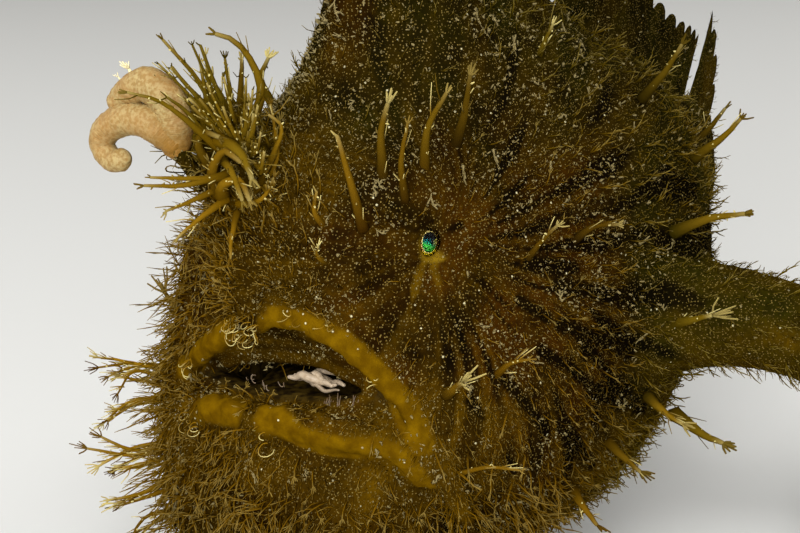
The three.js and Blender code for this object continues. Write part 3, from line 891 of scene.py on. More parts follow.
def gold_marks(p, region, under_eye):
    """Gold: lips, folds, chin, arms and belly, with fine fibres over the rest."""
    x, y, z = p.T
    fibre = stretched(p, 1.1, 12.0, 9)
    underside = 1 - steps(z, 12, 30)
    snout = (1 - steps(y, 8, 20)) * (1 - steps(np.abs(x), 9, 17))
    belly = (1 - steps(z, 18, 36)) * steps(y, 26, 44)
    gold = np.maximum.reduce([0.30 * region["chin"], 0.30 * region["arm"], 0.30 * underside, 0.30 * snout,
                              region["corner"] * 0.7, region["beside_mouth"] * 0.4, region["roof"] * 0.35,
                              0.55 * near_spine(p, 8.0), 0.75 * belly])
    gold = gold * (1 + 1.1 * wander(p, 6.0, 6)) + 0.34 * np.clip(fibre, 0, 1) + 0.12 * fibre
    return np.maximum.reduce([np.clip(gold, 0, 1), region["lip"], 0.7 * under_eye])


def rim_marks(p, region):
    """The pale edge of the skin under each eye and in front of it."""
    y, z = p[:, 1], p[:, 2]
    below = EYE[2] - z
    close = 1 - steps(region["from_eye"] - 0.7 * steps(below, 0.6, 2.0), 1.75, 2.35)
    rim = close * steps(below + 1.8 * (EYE[1] + 0.1 - y), 0.0, 1.8)
    return rim * (0.75 + 0.4 * wander(p, 0.7, 15)).clip(0, 1)


def markings(points, region):
    """Streak, gold, rust, olive and rim, each from 0 to 1, at points in millimetres."""
    p = straightened(points)
    x, y, z = p.T
    radius = beside_eye(p)[0]
    under_eye = short_bands(p, UNDER_EYE)
    gold = gold_marks(p, region, under_eye)
    ridge = (1 - steps(np.abs(x), 1.5, 6)) * steps(z, 80, 88) * (1 - steps(y, 24, 30))
    rust = np.maximum((1 - steps(radius, 22, 46)) * steps(np.abs(x), 6, 14), ridge)
    rust = np.clip(np.maximum(rust, 0.6 * region["chin"]) * (0.65 + 1.0 * wander(p, 5.0, 7)), 0, 1)
    olive = np.maximum(steps(y, 34, 60), steps(z, 66, 78)) * (0.85 + 0.5 * wander(p, 8.0, 8))
    olive = np.clip(olive, 0, 1) * (1 - ridge)
    return {"streak": streak_marks(p, gold) * (1 - region["lip"]), "gold": gold,
            "rust": rust * (1 - 0.7 * olive), "olive": olive,
            "rim": np.maximum(rim_marks(p, region), 0.10 * under_eye)}


MARKS = markings(skin_points, where)
print("dark share of the skin:", round(float(MARKS["streak"].mean()), 2))

# %% [markdown]
# ## How the coat lies
#
# Filaments lean away from the eye on the cheeks, and elsewhere away from a point behind the
# muzzle: back over the flanks, up on the brow and down on the chin. They are short on the left
# cheek, longer under the chin and longest round the foot of the bush, and there are none on the
# lips, in the mouth or round the eye.

# %% Lie and length
FOCUS = np.array([0.0, 8.0, 52.0])


def lie_of_coat(points, normals):
    """A unit vector along the skin at each point."""
    p = straightened(points)
    away = p - FOCUS
    away /= np.linalg.norm(away, axis=1, keepdims=True)
    beside = p - EYE
    beside[:, 0] = 0
    radius = np.linalg.norm(beside, axis=1, keepdims=True) + 1e-6
    cheek = steps(np.abs(p[:, :1]), 8, 14) * (1 - steps(radius, 36, 56))
    away = away + (beside / radius - away) * cheek
    swirl = np.stack([wander(p, 7.0, seed) for seed in (8, 9, 10)], 1)
    away = away + (0.45 - 0.27 * cheek) * swirl
    flat = away - normals * (away * normals).sum(1, keepdims=True)
    return flat / (np.linalg.norm(flat, axis=1, keepdims=True) + 1e-9)


def coat_length(points, region):
    """Length of the common filaments in millimetres."""
    x, y, z = points.T
    snout = (1 - steps(y, 3, 9)) * (1 - steps(np.abs(x), 9, 13))
    right_cheek = (1 - steps(x, -22, -12)) * (1 - steps(y, 22, 36)) * (1 - steps(z, 62, 72))
    length = lerp(2.1, 3.6, steps(y, 10, 56))
    bush_foot = near_spine(points, 9.0) * (1 - steps(y, 2, 8))
    beard = np.maximum(region["chin"], 0.8 * region["beside_mouth"])
    for longer, share in [(3.4, snout), (3.4, right_cheek), (4.6, bush_foot), (4.0, beard),
                          (3.0, region["arm"]), (2.2, steps(y, 100, 125))]:
        length = lerp(length, longer, share)
    on_fin = np.arange(len(points)) >= body_count
    length = np.where(on_fin, np.minimum(length, 1.5), length)
    return np.where(z < 9, np.minimum(length, 1.3), length)


skin_normals = vertex_normals(skin_points, skin_quads)
lie = lie_of_coat(skin_points, skin_normals)
length = coat_length(skin_points, where)
print("filaments from", round(float(length.min()), 1), "to", round(float(length.max()), 1), "mm long")

# %% Density of the filaments, the crumbs and the fringe
x, y, z = skin_points.T
bare = np.maximum.reduce([steps(where["lip"], 0.20, 0.75), where["cavity"], where["roof"],
                          1 - steps(where["from_eye"], 3.0, 4.0)])
thinned = steps(np.abs(x), 6, 12) * (1 - steps(y, 14, 24)) * steps(z, 44, 52)
density = (1 - bare) * (1 - 0.7 * (z < 6)) * (z > 2.4) * (1 - 0.6 * MARKS["streak"]) * (1 - 0.45 * thinned)
density[body_count:] *= 0.5
clusters = wander(skin_points, 5.0, 12) + 0.8 * wander(skin_points, 1.9, 13)
brow = steps(z, 58, 66) * (1 - steps(y, 40, 60))
crumbs = (1 - np.maximum(0.86 * where["lip"], where["cavity"])) * steps(where["from_eye"], 2.9, 4.2)
crumbs = crumbs * np.clip(0.05 + 0.95 * steps(clusters, 0.15, 0.7) + 0.2 * brow, 0, 1)
crumbs *= (1 - 0.6 * steps(y, 44, 62)) * (1 - steps(MARKS["rim"], 0.05, 0.2))
crumbs[body_count:] *= 0.35
crumbs[z < 2] = 0
near_folds = np.maximum(near_path(skin_points, CHEEK_FOLD, 6.5), near_path(skin_points, BEARD_FOLD, 8.0))
fringe = np.maximum(near_folds, 0.4 * where["chin"]) * density
print("share of the skin with filaments:", round(float((density > 0.1).mean()), 2))

# %% [markdown]
# ## A map for the coat
#
# Each tuft needs a place on a flat map of the skin. The body is nearly a ball, so it unwraps on a
# disc, muzzle in the middle and tail at the rim. The horn and the arms, which stand out from the
# ball, get strips beside the disc.

# %% The chart, and the parts that the coat is grown in
CORE = [0, 46, 48]
DISC_MIDDLE, DISC_RADIUS = 0.43, 0.42


def chart_of(points):
    """A place from 0 to 1 in two directions for each point, from the shape of the fish."""
    p = straightened(points)
    x, y, z = p.T
    out = p - CORE
    out /= np.linalg.norm(out, axis=1, keepdims=True)
    from_muzzle = np.sqrt(np.clip((1 + out[:, 1]) / 2, 0, 1)) * DISC_RADIUS
    turn = np.arctan2(out[:, 0], out[:, 2])
    u, v = DISC_MIDDLE + from_muzzle * np.sin(turn), DISC_MIDDLE + from_muzzle * np.cos(turn)
    horn = (z > 88) & (y < 60)
    u = np.where(horn, 0.02 + (z - 88) / 40, u)
    v = np.where(horn, 0.93 + np.arctan2(x, 29 - y) / math.tau * 0.12, v)
    limb = (np.abs(x) > 32) & (y > 50)
    u = np.where(limb, 0.93 + 0.03 * np.sign(x) + np.arctan2(z - 30, y - 73) / math.tau * 0.05, u)
    v = np.where(limb, 0.02 + (np.abs(x) - 32 + np.clip(40 - z, 0, 40)) / 110, v)
    return np.stack([u, v, 0 * u], 1)


LEFT_FACE, RIGHT_FACE, BEARD, CROWN, LEFT_FLANK, RIGHT_FLANK, LIMBS = range(1, 8)


def part_of(points):
    """The part of the coat that each point belongs to."""
    x, y, z = straightened(points).T
    part = np.where(x > 0, LEFT_FLANK, RIGHT_FLANK)
    part = np.where(y < 42, np.where(x > 0, LEFT_FACE, RIGHT_FACE), part)
    part = np.where((z < 27) & (y < 60), BEARD, part)
    part = np.where(z > 80, CROWN, part)
    part = np.where((np.abs(x) > 34) & (y > 50), LIMBS, part)
    return np.where(np.arange(len(points)) >= body_count, LIMBS, part)


part = part_of(skin_points)
skin = build_mesh("skin", to_scene(skin_points), [skin_quads])
for name, values in {**MARKS, "lip": where["lip"], "cavity": where["cavity"], "density": density,
                     "crumbs": crumbs, "fringe": fringe, "length": length / 1000}.items():
    set_attribute(skin, name, values.astype(np.float32))
set_attribute(skin, "lie", lie.astype(np.float32), "FLOAT_VECTOR")
set_attribute(skin, "chart", chart_of(skin_points).astype(np.float32), "FLOAT_VECTOR")
set_attribute(skin, "part", part.astype(np.int32), "INT")
print("skin triangles:", 2 * len(skin.data.polygons))

# %% [markdown]
# ## Writing node trees as sums
#
# Materials and the coat's tree are easier to read as sums than as lists of links. `Wire` holds an
# output socket and knows + - * and powers, and `Tree.add` makes any node: its type, its settings,
# then what goes into its sockets. `Finish` is a tree that ends in a material's shader.

# %% Wires
class Wire:
    """An output socket that can be used in sums."""

    def __init__(self, tree, node, name):
        self.tree, self.node, self.socket = tree, node, node.outputs[name]

    def also(self, name):
        """Another output of the same node."""
        return Wire(self.tree, self.node, name)

    def sum_with(self, operation, first, second):
        return self.tree.add("ShaderNodeMath", {"operation": operation}, {0: first, 1: second})

    def __add__(self, other):
        return self.sum_with("ADD", self, other)

    def __sub__(self, other):
        return self.sum_with("SUBTRACT", self, other)

    def __rsub__(self, other):
        return self.sum_with("SUBTRACT", other, self)

    def __mul__(self, other):
        return self.sum_with("MULTIPLY", self, other)

    def __pow__(self, other):
        return self.sum_with("POWER", self, other)

    __radd__, __rmul__ = __add__, __mul__


print("wires can be added")

# %% Trees
class Tree:
    """Adds nodes to a shader or geometry tree."""

    def __init__(self, node_tree):
        self.node_tree = node_tree

    def add(self, kind, settings=None, values=None, output=0):
        """A node of that type, with its settings made before its sockets are fed."""
        node = self.node_tree.nodes.new(kind)
        for name, value in (settings or {}).items():
            if name == "stops":
                self.set_stops(node.color_ramp, value)
            else:
                setattr(node, name, value)
        for name, value in (values or {}).items():
            self.feed(node.inputs[name], value)
        return Wire(self, node, output) if node.outputs else node

    def set_stops(self, ramp, stops):
        while len(ramp.elements) < len(stops):
            ramp.elements.new(0.5)
        for element, (place, colour) in zip(ramp.elements, stops):
            element.position, element.color = place, (*colour, 1)

    def feed(self, socket, value):
        if isinstance(value, Wire):
            self.node_tree.links.new(value.socket, socket)
        elif socket.type == "RGBA" and len(value) == 3:
            socket.default_value = (*value, 1)
        else:
            socket.default_value = value

    def mix(self, share, first, second):
        """One colour turning into another."""
        return self.add("ShaderNodeMix", {"data_type": "RGBA"}, {0: share, 6: first, 7: second}, output=2)

    def vector(self, operation, *values):
        return self.add("ShaderNodeVectorMath", {"operation": operation}, dict(enumerate(values)))

    def ramp(self, value, low, high):
        """A smooth rise from 0 to 1 as the value goes from low to high."""
        return self.add("ShaderNodeMapRange", {"interpolation_type": "SMOOTHSTEP"},
                        {"Value": value, "From Min": low, "From Max": high})


print("trees can be grown")

# %% Finishes
class Finish(Tree):
    """A material with a Principled shader at its end."""

    def __init__(self, name):
        self.material = bpy.data.materials.new(name)
        self.material.use_nodes = True
        super().__init__(self.material.node_tree)
        self.shader = self.node_tree.nodes["Principled BSDF"]
        self.place = self.add("ShaderNodeTexCoord", output="Object")

    def mark(self, name):
        """A number stored on the mesh."""
        return self.add("ShaderNodeAttribute", {"attribute_name": name}, output="Fac")

    def noise(self, size, detail=2.0):
        """Noise whose lumps are about `size` metres across, from 0 to 1."""
        return self.add("ShaderNodeTexNoise", values={
            "Vector": self.place, "Scale": 1 / size, "Detail": detail})

    def cells(self, size, evenness):
        """The way to the nearest of many points that lie about `size` metres apart."""
        return self.add("ShaderNodeTexVoronoi", values={
            "Vector": self.place, "Scale": 1 / size, "Randomness": 1 - evenness}, output="Distance")

    def sine(self, angle):
        return self.add("ShaderNodeMath", {"operation": "SINE"}, {0: angle})

    def bump(self, height, distance, strength, below=None):
        """Relief that many metres high; a finer one may lie below it."""
        values = {"Height": height, "Distance": distance, "Strength": strength}
        if below is not None:
            values["Normal"] = below
        return self.add("ShaderNodeBump", values=values)

    def set(self, **values):
        """Feeds the shader; a socket's spaces are written as underscores."""
        for name, value in values.items():
            self.feed(self.shader.inputs[name.replace("_", " ")], value)
        return self.material


print("nodes can be written as sums")

# %% [markdown]
# ## The colours of the skin
#
# The ground is a dark amber brown, rust on the cheek, olive on the back, nearly black in the
# streaks and golden on the lips. Over it lies a fine dotting: each dot is the pale tip of a tiny
# forked spine, about two to a millimetre. A Voronoi pattern spaces the dots about evenly, as the
# spines are. A second, wilder one gives a few scattered pale grains.

# %% Skin
AMBER_DARK, AMBER, GOLD = (0.0060, 0.0027, 0.0003), (0.0230, 0.0110, 0.0006), (0.0940, 0.0470, 0.0007)
STREAK, RUST, OLIVE = (0.0020, 0.0013, 0.0006), (0.0480, 0.0165, 0.0008), (0.0200, 0.0182, 0.0010)
RIM, DOT, GRAIN = (0.1700, 0.1020, 0.0050), (0.1900, 0.1300, 0.0330), (0.60, 0.54, 0.32)
LIP_SHADE, LIP_LIGHT = (0.0700, 0.0340, 0.0005), (0.1300, 0.0680, 0.0009)
MOUTH_SHADE, MOUTH_LIGHT = (0.010, 0.006, 0.002), (0.050, 0.030, 0.005)
DOT_SIZE, GRAIN_SIZE = 0.00044, 0.0011


def skin_ground(finish):
    """The colour of the skin under its dots, for the skin and for the roots of the coat."""
    colour = finish.mix(finish.ramp(finish.noise(0.004, detail=4), 0.38, 0.66), AMBER_DARK, AMBER)
    colour = finish.mix(finish.mark("olive") * 0.75, colour, OLIVE)
    colour = finish.mix(finish.mark("rust") * 0.62, colour, RUST)
    colour = finish.mix(finish.mark("gold") * 0.85, colour, GOLD)
    return finish.mix(finish.mark("streak") * 0.92, colour, STREAK)


def skin_finish():
    finish = Finish("frogfish_skin")
    lip, cavity = finish.mark("lip"), finish.mark("cavity")
    smooth = (1 - lip) * (1 - cavity)
    dots, grains = finish.cells(DOT_SIZE, 0.3), finish.cells(GRAIN_SIZE, 0.0)
    lucky = grains.also("Color")
    dot = (1 - finish.ramp(dots, 0.20, 0.36)) * smooth
    grain = (1 - finish.ramp(grains, 0.10, 0.20)) * finish.ramp(lucky, 0.74, 0.84) * (1 - cavity)
    flicker = finish.noise(0.0009, detail=4)
    shade = finish.ramp(flicker, 0.25, 0.75)
    colour = finish.mix((1 - shade) * 0.45 * smooth, skin_ground(finish), STREAK)
    colour = finish.mix(dot * (0.35 + 0.55 * shade), colour, DOT)
    lip_colour = finish.mix(finish.ramp(finish.noise(0.0020, detail=5), 0.3, 0.75), LIP_SHADE, LIP_LIGHT)
    colour = finish.mix(lip * 0.95, colour, lip_colour)
    inside = finish.mix(finish.ramp(finish.noise(0.0016), 0.35, 0.65), MOUTH_SHADE, MOUTH_LIGHT)
    colour = finish.mix(cavity, colour, inside)
    colour = finish.mix(finish.mark("rim"), colour, RIM)
    colour = finish.mix(grain * 0.85, colour, GRAIN)
    fine = finish.bump(flicker, 0.00030, 0.7)
    height = finish.bump(dot + grain, 0.00016, 0.9, below=fine)
    return finish.set(Base_Color=colour, Roughness=0.55 - 0.12 * lip - 0.2 * cavity, Normal=height,
                      Specular_IOR_Level=0.0)


skin.data.materials.append(skin_finish())
print("skin painted")

# %% [markdown]
# ## Eyes
#
# A fish's eye has a round lens that nearly fills the pupil and bulges through it, a ring of iris, and
# a clear cornea over both. Each eye is two pieces: a turned ball with the iris sunk into its front,
# coloured by the distance from the line of sight, and the clear shell in front of it. The pupil is
# painted with reflection, green below and black at the top, and with a painted highlight.

# %% Turned about the line of sight
def turned(side, profile, segments=48):
    """Points and faces of a profile (forward, radius) turned about an eye's line of sight."""
    axis, upright, level = round_sight(side)
    forward, radius = np.array(profile, float).T
    angle = np.arange(segments) * math.tau / segments
    rim = np.cos(angle)[:, None] * level + np.sin(angle)[:, None] * upright
    rings = (forward[1:-1, None, None] * axis + radius[1:-1, None, None] * rim).reshape(-1, 3)
    points = eye_middle(side) + np.vstack([forward[0] * axis, rings, forward[-1] * axis])
    ring = np.arange(len(forward) - 2)[:, None] * segments + np.arange(segments) + 1
    following = np.roll(ring, -1, axis=1)
    quads = np.stack([ring[:-1], ring[1:], following[1:], following[:-1]], -1).reshape(-1, 4)
    first, last = np.zeros(segments, int), np.full(segments, len(points) - 1)
    caps = np.concatenate([np.stack([first, ring[0], following[0]], 1),
                           np.stack([last, following[-1], ring[-1]], 1)])
    centre = points.mean(0)
    a, b, c = (points[caps[:, k]] - centre for k in range(3))
    if (np.cross(a, b) * c).sum() < 0:
        quads, caps = quads[:, ::-1], caps[:, ::-1]
    return points, [quads, caps]


def arc(radius, start, end, count, centre=0.0):
    """Points (forward, radius) on a circle, by angles in degrees from the line of sight."""
    angle = np.radians(np.linspace(start, end, count))
    return list(zip(centre + radius * np.cos(angle), radius * np.sin(angle)))


PUPIL, IRIS, LENS, BALL = 1.42, 2.75, 2.5, 3.42
IRIS_DEPTH = 2.80
iris_edge = math.degrees(math.asin(IRIS / BALL))
lens_bow = math.degrees(math.asin(PUPIL / LENS))
lens_centre = IRIS_DEPTH + 0.04 - LENS * math.cos(math.radians(lens_bow))
ball_profile = (arc(BALL, 180, iris_edge, 22) + [(2.36, 2.3), (2.72, 1.8), (IRIS_DEPTH, PUPIL + 0.08)]
                + arc(LENS, lens_bow, 0, 8, lens_centre))
cornea_profile = arc(BALL + 0.04, 62, 0, 14) + arc(BALL - 0.08, 0, 62, 14)[1:]
print("iris between", PUPIL, "and", IRIS, "mm from the line of sight")

# %% Eye finishes
IRIS_SHADE, IRIS_LIGHT = (0.040, 0.019, 0.0015), (0.190, 0.125, 0.0300)
IRIS_YELLOW, IRIS_ORANGE, PUPIL_RING = (0.400, 0.270, 0.0030), (0.180, 0.066, 0.0015), (0.420, 0.340, 0.1100)
# A painted highlight on the lens.
LENS_PAINTED_HIGHLIGHT = (0.300, 0.300, 0.030)
# Painted reflection in the pupil: green low and towards the front, darkening to black at the top.
LENS_PAINTED_REFLECTION = [(0.0, (0.010, 0.120, 0.008)), (0.20, (0.020, 0.300, 0.020)), (0.38, (0.004, 0.130, 0.050)),
              (0.55, (0.001, 0.045, 0.050)), (0.72, (0.001, 0.008, 0.010)), (0.85, (0.001, 0.002, 0.002))]


def eye_finish(side):
    """Iris and pupil, coloured by the place about the line of sight; the pupil holds painted reflection and a
    painted highlight.
    """
    finish = Finish(f"frogfish_eye_{'left' if side > 0 else 'right'}")
    axis, upright, level = round_sight(side)
    turn = np.sign(upright[2])
    local = finish.vector("SUBTRACT", finish.place, tuple(to_scene(eye_middle(side))))

    def measured(direction):
        """Millimetres from the middle of the eye in that direction."""
        return finish.vector("DOT_PRODUCT", local, tuple(direction * 1000)).also("Value")

    rise, behind = measured(upright * turn), measured(level * turn * side)
    radius = (rise ** 2 + (behind * 1.16) ** 2) ** 0.5
    angle = finish.add("ShaderNodeMath", {"operation": "ARCTAN2"}, {0: rise, 1: behind})
    grain = finish.noise(0.00035, detail=3)
    rays = finish.sine(angle * 26 + grain * 5)
    iris = finish.mix(finish.ramp(rays + grain * 0.6, 0.7, 1.3), IRIS_SHADE, IRIS_LIGHT)
    crescent = finish.ramp(0 - rise, 0.75, 1.35)
    iris = finish.mix(crescent, iris, IRIS_YELLOW)
    front = finish.ramp(0 - behind, 0.4, 1.3) * (1 - crescent)
    iris = finish.mix(front * 0.9, iris, IRIS_ORANGE)
    ring = finish.ramp(radius, PUPIL - 0.04, PUPIL) * (1 - finish.ramp(radius, PUPIL + 0.10, PUPIL + 0.16))
    iris = finish.mix(ring * 0.9, iris, PUPIL_RING)
    # The pupil's colour is painted reflection, darker towards the top as painted shade.
    slant = finish.ramp(rise + behind * 0.45, -1.5, 1.5)
    painted_reflection = finish.add("ShaderNodeValToRGB", {"stops": LENS_PAINTED_REFLECTION}, {"Fac": slant}, output="Color")
    # A painted highlight, a little below the middle of the pupil and towards its back.
    level_with_it = (1 - finish.ramp(rise, 0.0, 0.45)) * finish.ramp(rise, -0.75, -0.3)
    painted_highlight = finish.ramp(behind, 0.25, 0.9) * level_with_it
    painted_reflection = finish.mix(painted_highlight * 0.8, painted_reflection, LENS_PAINTED_HIGHLIGHT)
    colour = finish.mix(1 - finish.ramp(radius, PUPIL - 0.06, PUPIL + 0.02), iris, painted_reflection)
    return finish.set(Base_Color=colour, Roughness=0.25, Specular_IOR_Level=0.1)


def cornea_finish():
    finish = Finish("frogfish_cornea")
    return finish.set(Base_Color=(1.0, 1.0, 1.0), Roughness=0.03, Transmission_Weight=1.0, IOR=1.18)


cornea_material = cornea_finish()
for side, name in ((1, "left"), (-1, "right")):
    points, faces = turned(side, ball_profile)
    ball = build_mesh(f"eyeball_{name}", to_scene(points), faces)
    ball.data.materials.append(eye_finish(side))
    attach(ball, "root")
    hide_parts(f"eye_{name}")
    points, faces = turned(side, cornea_profile)
    shell = build_mesh(f"cornea_{name}", to_scene(points), faces)
    shell.data.materials.append(cornea_material)
    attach(shell, "root")
print("two eyes set")

# %% [markdown]
# ## Strands
#
# Filaments, the lure and the bush over the snout are all tapering tubes. `Strands` gathers many of
# them into one mesh and remembers for each point how far along its strand it lies, so that tips can
# be pale. The tubes are closed at both ends.

# %% Gathering tubes
PATCH = 0.003


class Strands:
    """Closed tapering tubes in one mesh."""

    def __init__(self, sides):
        self.sides = sides
        self.points, self.quads, self.caps, self.along, self.around, self.tone = [], [], [], [], [], []
        self.count, self.root, self.roots = 0, None, []

    def grow(self, path, radii, start=0.0, end=1.0, tone=0.5):
        """Adds a tube along a path; start and end say which stretch of a whole strand it is."""
        path, sides = np.asarray(path, float), self.sides
        radii = np.interp(np.linspace(0, 1, len(path)), np.linspace(0, 1, len(radii)), radii)
        run = np.gradient(path, axis=0)
        run /= np.linalg.norm(run, axis=1, keepdims=True)
        angle = np.arange(sides) * math.tau / sides
        normal = np.cross(run[0], [0.31, 0.82, 0.48])
        rings = [path[:1] - run[:1] * radii[0] * 0.7]
        for place, direction, radius in zip(path, run, radii):
            normal = normal - direction * (normal @ direction)
            normal /= np.linalg.norm(normal)
            beside = np.cross(direction, normal)
            rings.append(place + radius * (np.cos(angle)[:, None] * normal + np.sin(angle)[:, None] * beside))
        rings.append(path[-1:] + run[-1:] * radii[-1] * 0.9)
        points = np.concatenate(rings)
        ring = self.count + 1 + np.arange(len(path))[:, None] * sides + np.arange(sides)
        following = np.roll(ring, -1, axis=1)
        self.quads.append(np.stack([ring[:-1], following[:-1], following[1:], ring[1:]], -1).reshape(-1, 4))
        foot, tip = np.full(sides, self.count), np.full(sides, self.count + len(points) - 1)
        self.caps.append(np.stack([foot, following[0], ring[0]], 1))
        self.caps.append(np.stack([tip, ring[-1], following[-1]], 1))
        share = np.repeat(np.linspace(start, end, len(path)), sides)
        self.along.append(np.concatenate([[start], share, [end]]))
        self.around.append(np.concatenate([[0.5], np.tile(np.arange(sides) / sides, len(path)), [0.5]]))
        self.tone.append(np.full(len(points), tone))
        self.points.append(points)
        self.roots.append((path[0] if self.root is None else self.root, len(points)))
        self.count += len(points)

    def hand(self, wrist, direction, reach, thick, fingers, random, tone=0.5):
        """A few short fingers that spread from the tip of a filament."""
        direction = np.asarray(direction, float) / np.linalg.norm(direction)
        across = np.cross(direction, random.normal(size=3))
        across /= np.linalg.norm(across)
        other = np.cross(direction, across)
        for finger in range(fingers):
            swing = (finger / max(fingers - 1, 1) - 0.5) * 1.5 + random.normal() * 0.15
            aim = direction * math.cos(swing) + across * math.sin(swing) + other * random.normal() * 0.35
            length = reach * random.uniform(0.6, 1.15)
            middle = wrist + aim * length * 0.5
            self.grow([wrist, middle, middle + (aim + direction * 0.6) * length * 0.4],
                      [thick, thick * 0.8, thick * 0.6], 0.82, 1.0, tone)

    def mesh(self, name, place=to_scene):
        piece = build_mesh(name, place(np.concatenate(self.points)),
                           [np.concatenate(self.quads), np.concatenate(self.caps)])
        for key in ("along", "around", "tone"):
            set_attribute(piece, key, np.concatenate(getattr(self, key)).astype(np.float32))
        return piece

    def dressed(self, name, finish, replaced=()):
        """A finished piece on the body: each strand has the markings and the map place of its root."""
        piece = self.mesh(name)
        roots = np.array([root for root, _ in self.roots])
        counts = [count for _, count in self.roots]
        for key, values in markings(roots, regions(roots)).items():
            set_attribute(piece, key, np.repeat(values, counts).astype(np.float32))
        corners = np.zeros(len(piece.data.loops), np.int32)
        piece.data.loops.foreach_get("vertex_index", corners)
        spread = np.stack([np.concatenate(self.around), np.concatenate(self.along)], 1) - 0.5
        place = np.repeat(chart_of(roots)[:, :2], counts, axis=0) + PATCH * spread
        chart = piece.data.uv_layers.new(name="OFBake")
        chart.data.foreach_set("uv", place[corners].astype(np.float32).ravel())
        piece.data.materials.append(finish)
        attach(piece, "root")
        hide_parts(*replaced)
        print(f"{name}: {sum(len(p.vertices) - 2 for p in piece.data.polygons)} triangles")
        return piece


print("strands can be grown")

# %% [markdown]
# ## Shapes of the coat
#
# The coat is tens of thousands of filaments, but only two dozen shapes, turned and stretched: plain
# hairs, a hook, forks with small fingers, tufts, round crumbs and torn flakes. Each has between
# nine and about eighty faces. The filaments are one unit high and bend towards +X, which will be
# the lie of the coat.

# %% Shapes of filaments
SHAPES = bpy.data.collections.new("coat_shapes")


def whole(points):
    return points


def bowed(bend, sway, count=5):
    """A path one unit long that leaves the skin upright and bends over."""
    t = np.linspace(0, 1, count)
    lift = t * (1 - 0.28 * abs(bend) * t)
    return np.stack([bend * t ** 2, sway * np.sin(t * 3.0), lift], 1)


def hair(bend, sway):
    strands = Strands(3)
    strands.grow(bowed(bend, sway, 3), [0.050, 0.042, 0.024])
    return strands


def hooked_hair():
    turn = np.radians(np.linspace(0, 250, 7))
    hook = np.stack([0.22 - 0.22 * np.cos(turn), 0 * turn, 0.55 + 0.22 * np.sin(turn)], 1)
    strands = Strands(3)
    strands.grow(np.vstack([[0, 0, 0], hook]), [0.045, 0.040, 0.022])
    return strands


def fork(random, bend, fingers):
    strands = Strands(3)
    path = bowed(bend, random.uniform(-0.15, 0.15))[:4] * [1, 1, 1.05]
    strands.grow(path, [0.066, 0.050, 0.042], 0, 0.85)
    strands.hand(path[-1], path[-1] - path[-2], 0.24, 0.034, fingers, random)
    return strands


def tuft(random, bend):
    """A filament with five twigs."""
    strands = Strands(3)
    path = bowed(bend, random.uniform(-0.12, 0.12))
    strands.grow(path, [0.070, 0.055, 0.035])
    for twig in range(5):
        start = path[1 + twig % 4]
        turn = twig * 2.4 + random.uniform(0, 0.6)
        aim = np.array([0.55 * math.cos(turn) + bend * 0.4, 0.55 * math.sin(turn), 0.75])
        reach = random.uniform(0.26, 0.42)
        strands.grow([start, start + aim * reach * 0.6, start + aim * reach + [0.05, 0, 0.06]],
                     [0.040, 0.032, 0.018], 0.45, 1.0)
    return strands


print("a plain hair has", len(hair(0.5, 0).points[0]), "points")

# %% Shapes of crumbs and flakes, and all shapes in their families
def crumb(random, blobs):
    strands = Strands(3)
    for blob in range(blobs):
        slim = random.uniform(0.45, 0.9)
        foot = np.append(random.uniform(-0.6, 0.6, 2) * (blobs > 1), -0.1)
        top = foot + np.array([*random.uniform(-0.5, 0.5, 2), random.uniform(0.3, 0.9)])
        radii = [random.uniform(0.3, 0.5) * slim, random.uniform(0.2, 0.45) * slim]
        strands.grow([foot, top], radii, 0.6, 1.0)
    return strands


def flake(random, twigs):
    """A crooked scrap that lies on the skin."""
    strands = Strands(3)
    path = np.cumsum(random.normal(size=(6, 3)) * [0.30, 0.34, 0.10] + [0.20, 0, 0.05], axis=0)
    strands.grow(path, random.uniform(0.07, 0.24, 6), 0.6, 1.0)
    for start in path[1:1 + twigs]:
        strands.grow([start, start + random.normal(size=3) * [0.4, 0.4, 0.2] + [0, 0, 0.2]],
                     random.uniform(0.07, 0.2, 2), 0.6, 1.0)
    return strands


random = np.random.default_rng(11)
bows = [(0.25, 0.05), (0.5, -0.1), (0.75, 0.12), (0.45, 0.2), (0.1, -0.15)]
made = {"hairs": [hair(bend, sway) for bend, sway in bows] + [hooked_hair()],
        "forks": [fork(random, *form) for form in [(0.2, 3), (0.45, 4), (0.6, 2), (0.35, 5)]],
        "tufts": [tuft(random, bend) for bend in (0.15, 0.35, 0.5)],
        "crumbs": [crumb(random, blobs) for blobs in (1, 3, 1, 2, 4, 1)],
        "flakes": [flake(random, twigs) for twigs in (2, 3, 4, 2)]}
families = {}
for family, shapes in made.items():
    families[family] = bpy.data.collections.new(family)
    SHAPES.children.link(families[family])
    for number, strands in enumerate(shapes):
        shape = strands.mesh(f"{family}_{number}", whole)
        SCENE.collection.objects.unlink(shape)
        families[family].objects.link(shape)

# %% [markdown]
# ## The tree that grows the coat
#
# Particle hair would be quicker to set up, but it is lost when the model leaves Blender. Geometry
# Nodes can scatter real meshes: points spread evenly over one part of the skin, each gets a
# direction between the skin's normal and the lie of the coat, and a shape is set on it. The
# instances are then made real, and each keeps the markings of the skin at its root.
#
# "Follow" says how far the filaments take their length from the skin: at 1 they do, and at 0 they
# are a millimetre long before "Length" stretches them.

# %% A Geometry Nodes tree
COAT_INPUTS = [
    ("Skin", "NodeSocketGeometry", None), ("Shapes", "NodeSocketCollection", None),
    ("Finish", "NodeSocketMaterial", None), ("From part", "NodeSocketInt", 1),
    ("Gap", "NodeSocketFloat", 0.001), ("Per square metre", "NodeSocketFloat", 4e6),
    ("Sown by", "NodeSocketString", "density"), ("To part", "NodeSocketInt", 1),
    ("Length", "NodeSocketFloat", 1.0), ("Follow", "NodeSocketFloat", 1.0),
    ("Slimness", "NodeSocketFloat", 1.0), ("Lean", "NodeSocketFloat", 1.0),
    ("Scatter", "NodeSocketFloat", 0.4), ("Seed", "NodeSocketInt", 1),
]


